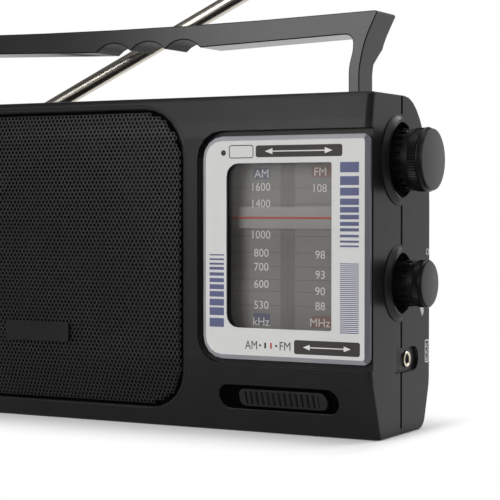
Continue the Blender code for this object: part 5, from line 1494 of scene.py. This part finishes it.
@dataclass(frozen=True)
class Studio:
    """Camera, pale floor, white surroundings and soft lights.

    Args:
        place: Camera's place.
        turn: Camera's rotation in degrees.
        lens: Focal length in millimetres on a 36 mm sensor.
        pixels: Width and height of the picture.
    """

    place: Triple = (0.36025, -0.58285, 0.08785)
    turn: Triple = (88.467, 0.0, 28.806)
    lens: float = 119.877
    pixels: int = 500

    def build(self) -> None:
        """Sets up the view, the floor and the light."""
        scene = bpy.context.scene
        scene.render.engine = "CYCLES"
        scene.render.resolution_x = self.pixels
        scene.render.resolution_y = self.pixels
        scene.view_settings.view_transform = "Standard"
        self._camera(scene)
        self._floor(scene)
        self._world(scene)
        for lamp in LAMPS:
            lamp.hang()

    def _camera(self, scene: bpy.types.Scene) -> None:
        """Adds the camera.

        Args:
            scene: Scene to set it in.
        """
        data = bpy.data.cameras.new("camera")
        data.lens = self.lens
        data.sensor_width = 36.0
        data.clip_start = 0.01
        obj = bpy.data.objects.new("camera", data)
        obj.location = self.place
        obj.rotation_euler = tuple(math.radians(angle) for angle in self.turn)
        scene.collection.objects.link(obj)
        scene.camera = obj

    @staticmethod
    def _floor(scene: bpy.types.Scene) -> None:
        """A wide pale floor that keeps the shadow near the radio and is plain white far away.

        Args:
            scene: Scene to set it in.
        """
        made, net = blank_material("floor")
        away = Studio._away(net)
        camera = net.node("LightPath").outputs["Is Camera Ray"]
        dim = net.range(net.fade(away, *DIM_FADE), 0.5, 0.05)
        near = net.add("BsdfDiffuse", {"Color": net.range(camera, dim, 0.75)})
        share = net.math("MULTIPLY", net.fade(away, *SHADOW_FADE), Studio._seen(net))
        net.node("OutputMaterial", {"Surface": net.mix(share, near, net.add("Emission"))})
        outline = np.pad(rounded_box(grown((0.0, 0.0, 0.0, 0.0), FLOOR_HALF), 0.0), ((0, 0), (0, 1)))
        mesh = bpy.data.meshes.new("floor")
        mesh.from_pydata(outline.tolist(), [], [(0, 1, 2, 3)])
        mesh.materials.append(made)
        floor = bpy.data.objects.new("floor", mesh)
        scene.collection.objects.link(floor)

    @staticmethod
    def _away(net: Net) -> Socket:
        """Distance on the floor from the radio's footprint.

        Args:
            net: Nodes to add to.

        Returns:
            The distance.
        """
        place = net.node("TexCoord").outputs["Object"]
        value = net.add("VectorMath", {0: place}, "ABSOLUTE")
        steps = (("SUBTRACT", FOOTPRINT), ("MAXIMUM", (0.0, 0.0, 0.0)), ("MULTIPLY", SHADOW_SHAPE))
        for operation, other in steps:
            value = net.add("VectorMath", {0: value, 1: other}, operation)
        return net.node("VectorMath", {0: value}, "LENGTH").outputs["Value"]

    @staticmethod
    def _seen(net: Net) -> Socket:
        """1 for rays that look at the background.

        These come from the camera, or off gloss or through glass towards the back.

        Args:
            net: Nodes to add to.

        Returns:
            The share.
        """
        path = net.node("LightPath").outputs
        place = net.node("TexCoord").outputs["Object"]
        depth = net.node("SeparateXYZ", {"Vector": place}).outputs["Y"]
        mirror = net.math("MAXIMUM", path["Is Glossy Ray"], path["Is Transmission Ray"])
        behind = net.math("MULTIPLY", mirror, net.fade(depth, *BACK_FADE))
        return net.math("MAXIMUM", behind, path["Is Camera Ray"])

    @staticmethod
    def _world(scene: bpy.types.Scene) -> None:
        """White to the camera, a graded room for reflections, soft fill as light.

        In reflections the room is white low behind the radio, paler low in front, dim above.

        Args:
            scene: Scene to light.
        """
        world = bpy.data.worlds.new("studio")
        world.use_nodes = True
        net = Net(world.node_tree)
        place = net.node("TexCoord").outputs["Generated"]
        parts = net.node("SeparateXYZ", {"Vector": place}).outputs
        low = net.fade(parts["Z"], *ROOM_LOW)
        behind = net.math("MULTIPLY", net.fade(parts["Y"], *ROOM_BACK), low)
        room = net.range(behind, net.range(low, 0.10, 0.6), 1.0)
        path = net.node("LightPath").outputs
        mirror = net.math("MAXIMUM", path["Is Glossy Ray"], path["Is Transmission Ray"])
        fill = net.add("Mix", {"Factor": mirror, "A": 0.30, "B": room})
        seen = net.add("Mix", {"Factor": path["Is Camera Ray"], "A": fill, "B": 1.0})
        net.feed(world.node_tree.nodes["Background"], {"Color": (1, 1, 1, 1), "Strength": seen})
        scene.world = world


def main() -> None:
    """Builds the radio's looks."""
    logging.basicConfig(level=logging.INFO, format="%(name)s: %(message)s")
    for obj in list(bpy.data.objects):
        bpy.data.objects.remove(obj)
    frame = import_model()
    shop = Workshop(frame)
    profile = FrontProfile()
    shop.dress_rest()
    Cabinet(shop).build()
    Grille(shop, profile).build()
    DialPanel(shop).build()
    BandSlider(shop, profile).build()
    knobs = (
        SideKnob(shop, "tuning", TUNING_Z, radius=0.0123, reach=0.0131, neck=0.0119, rim=0.0024,
                 knurl=0.0037, plain=0.0025, teeth=72, notches=22, well=0.01455),
        SideKnob(shop, "volume", VOLUME_Z, radius=0.0092, reach=0.0118, neck=0.0088, rim=0.0014,
                 knurl=0.0026, plain=0.0020, teeth=54, notches=18, well=0.01185))
    for knob in knobs:
        knob.build()
    for knob in knobs:
        knob.collar()
    Handle(shop).build()
    Antenna(shop).build()
    side_prints(shop)
    Studio().build()


if __name__ == "__main__":
    main()
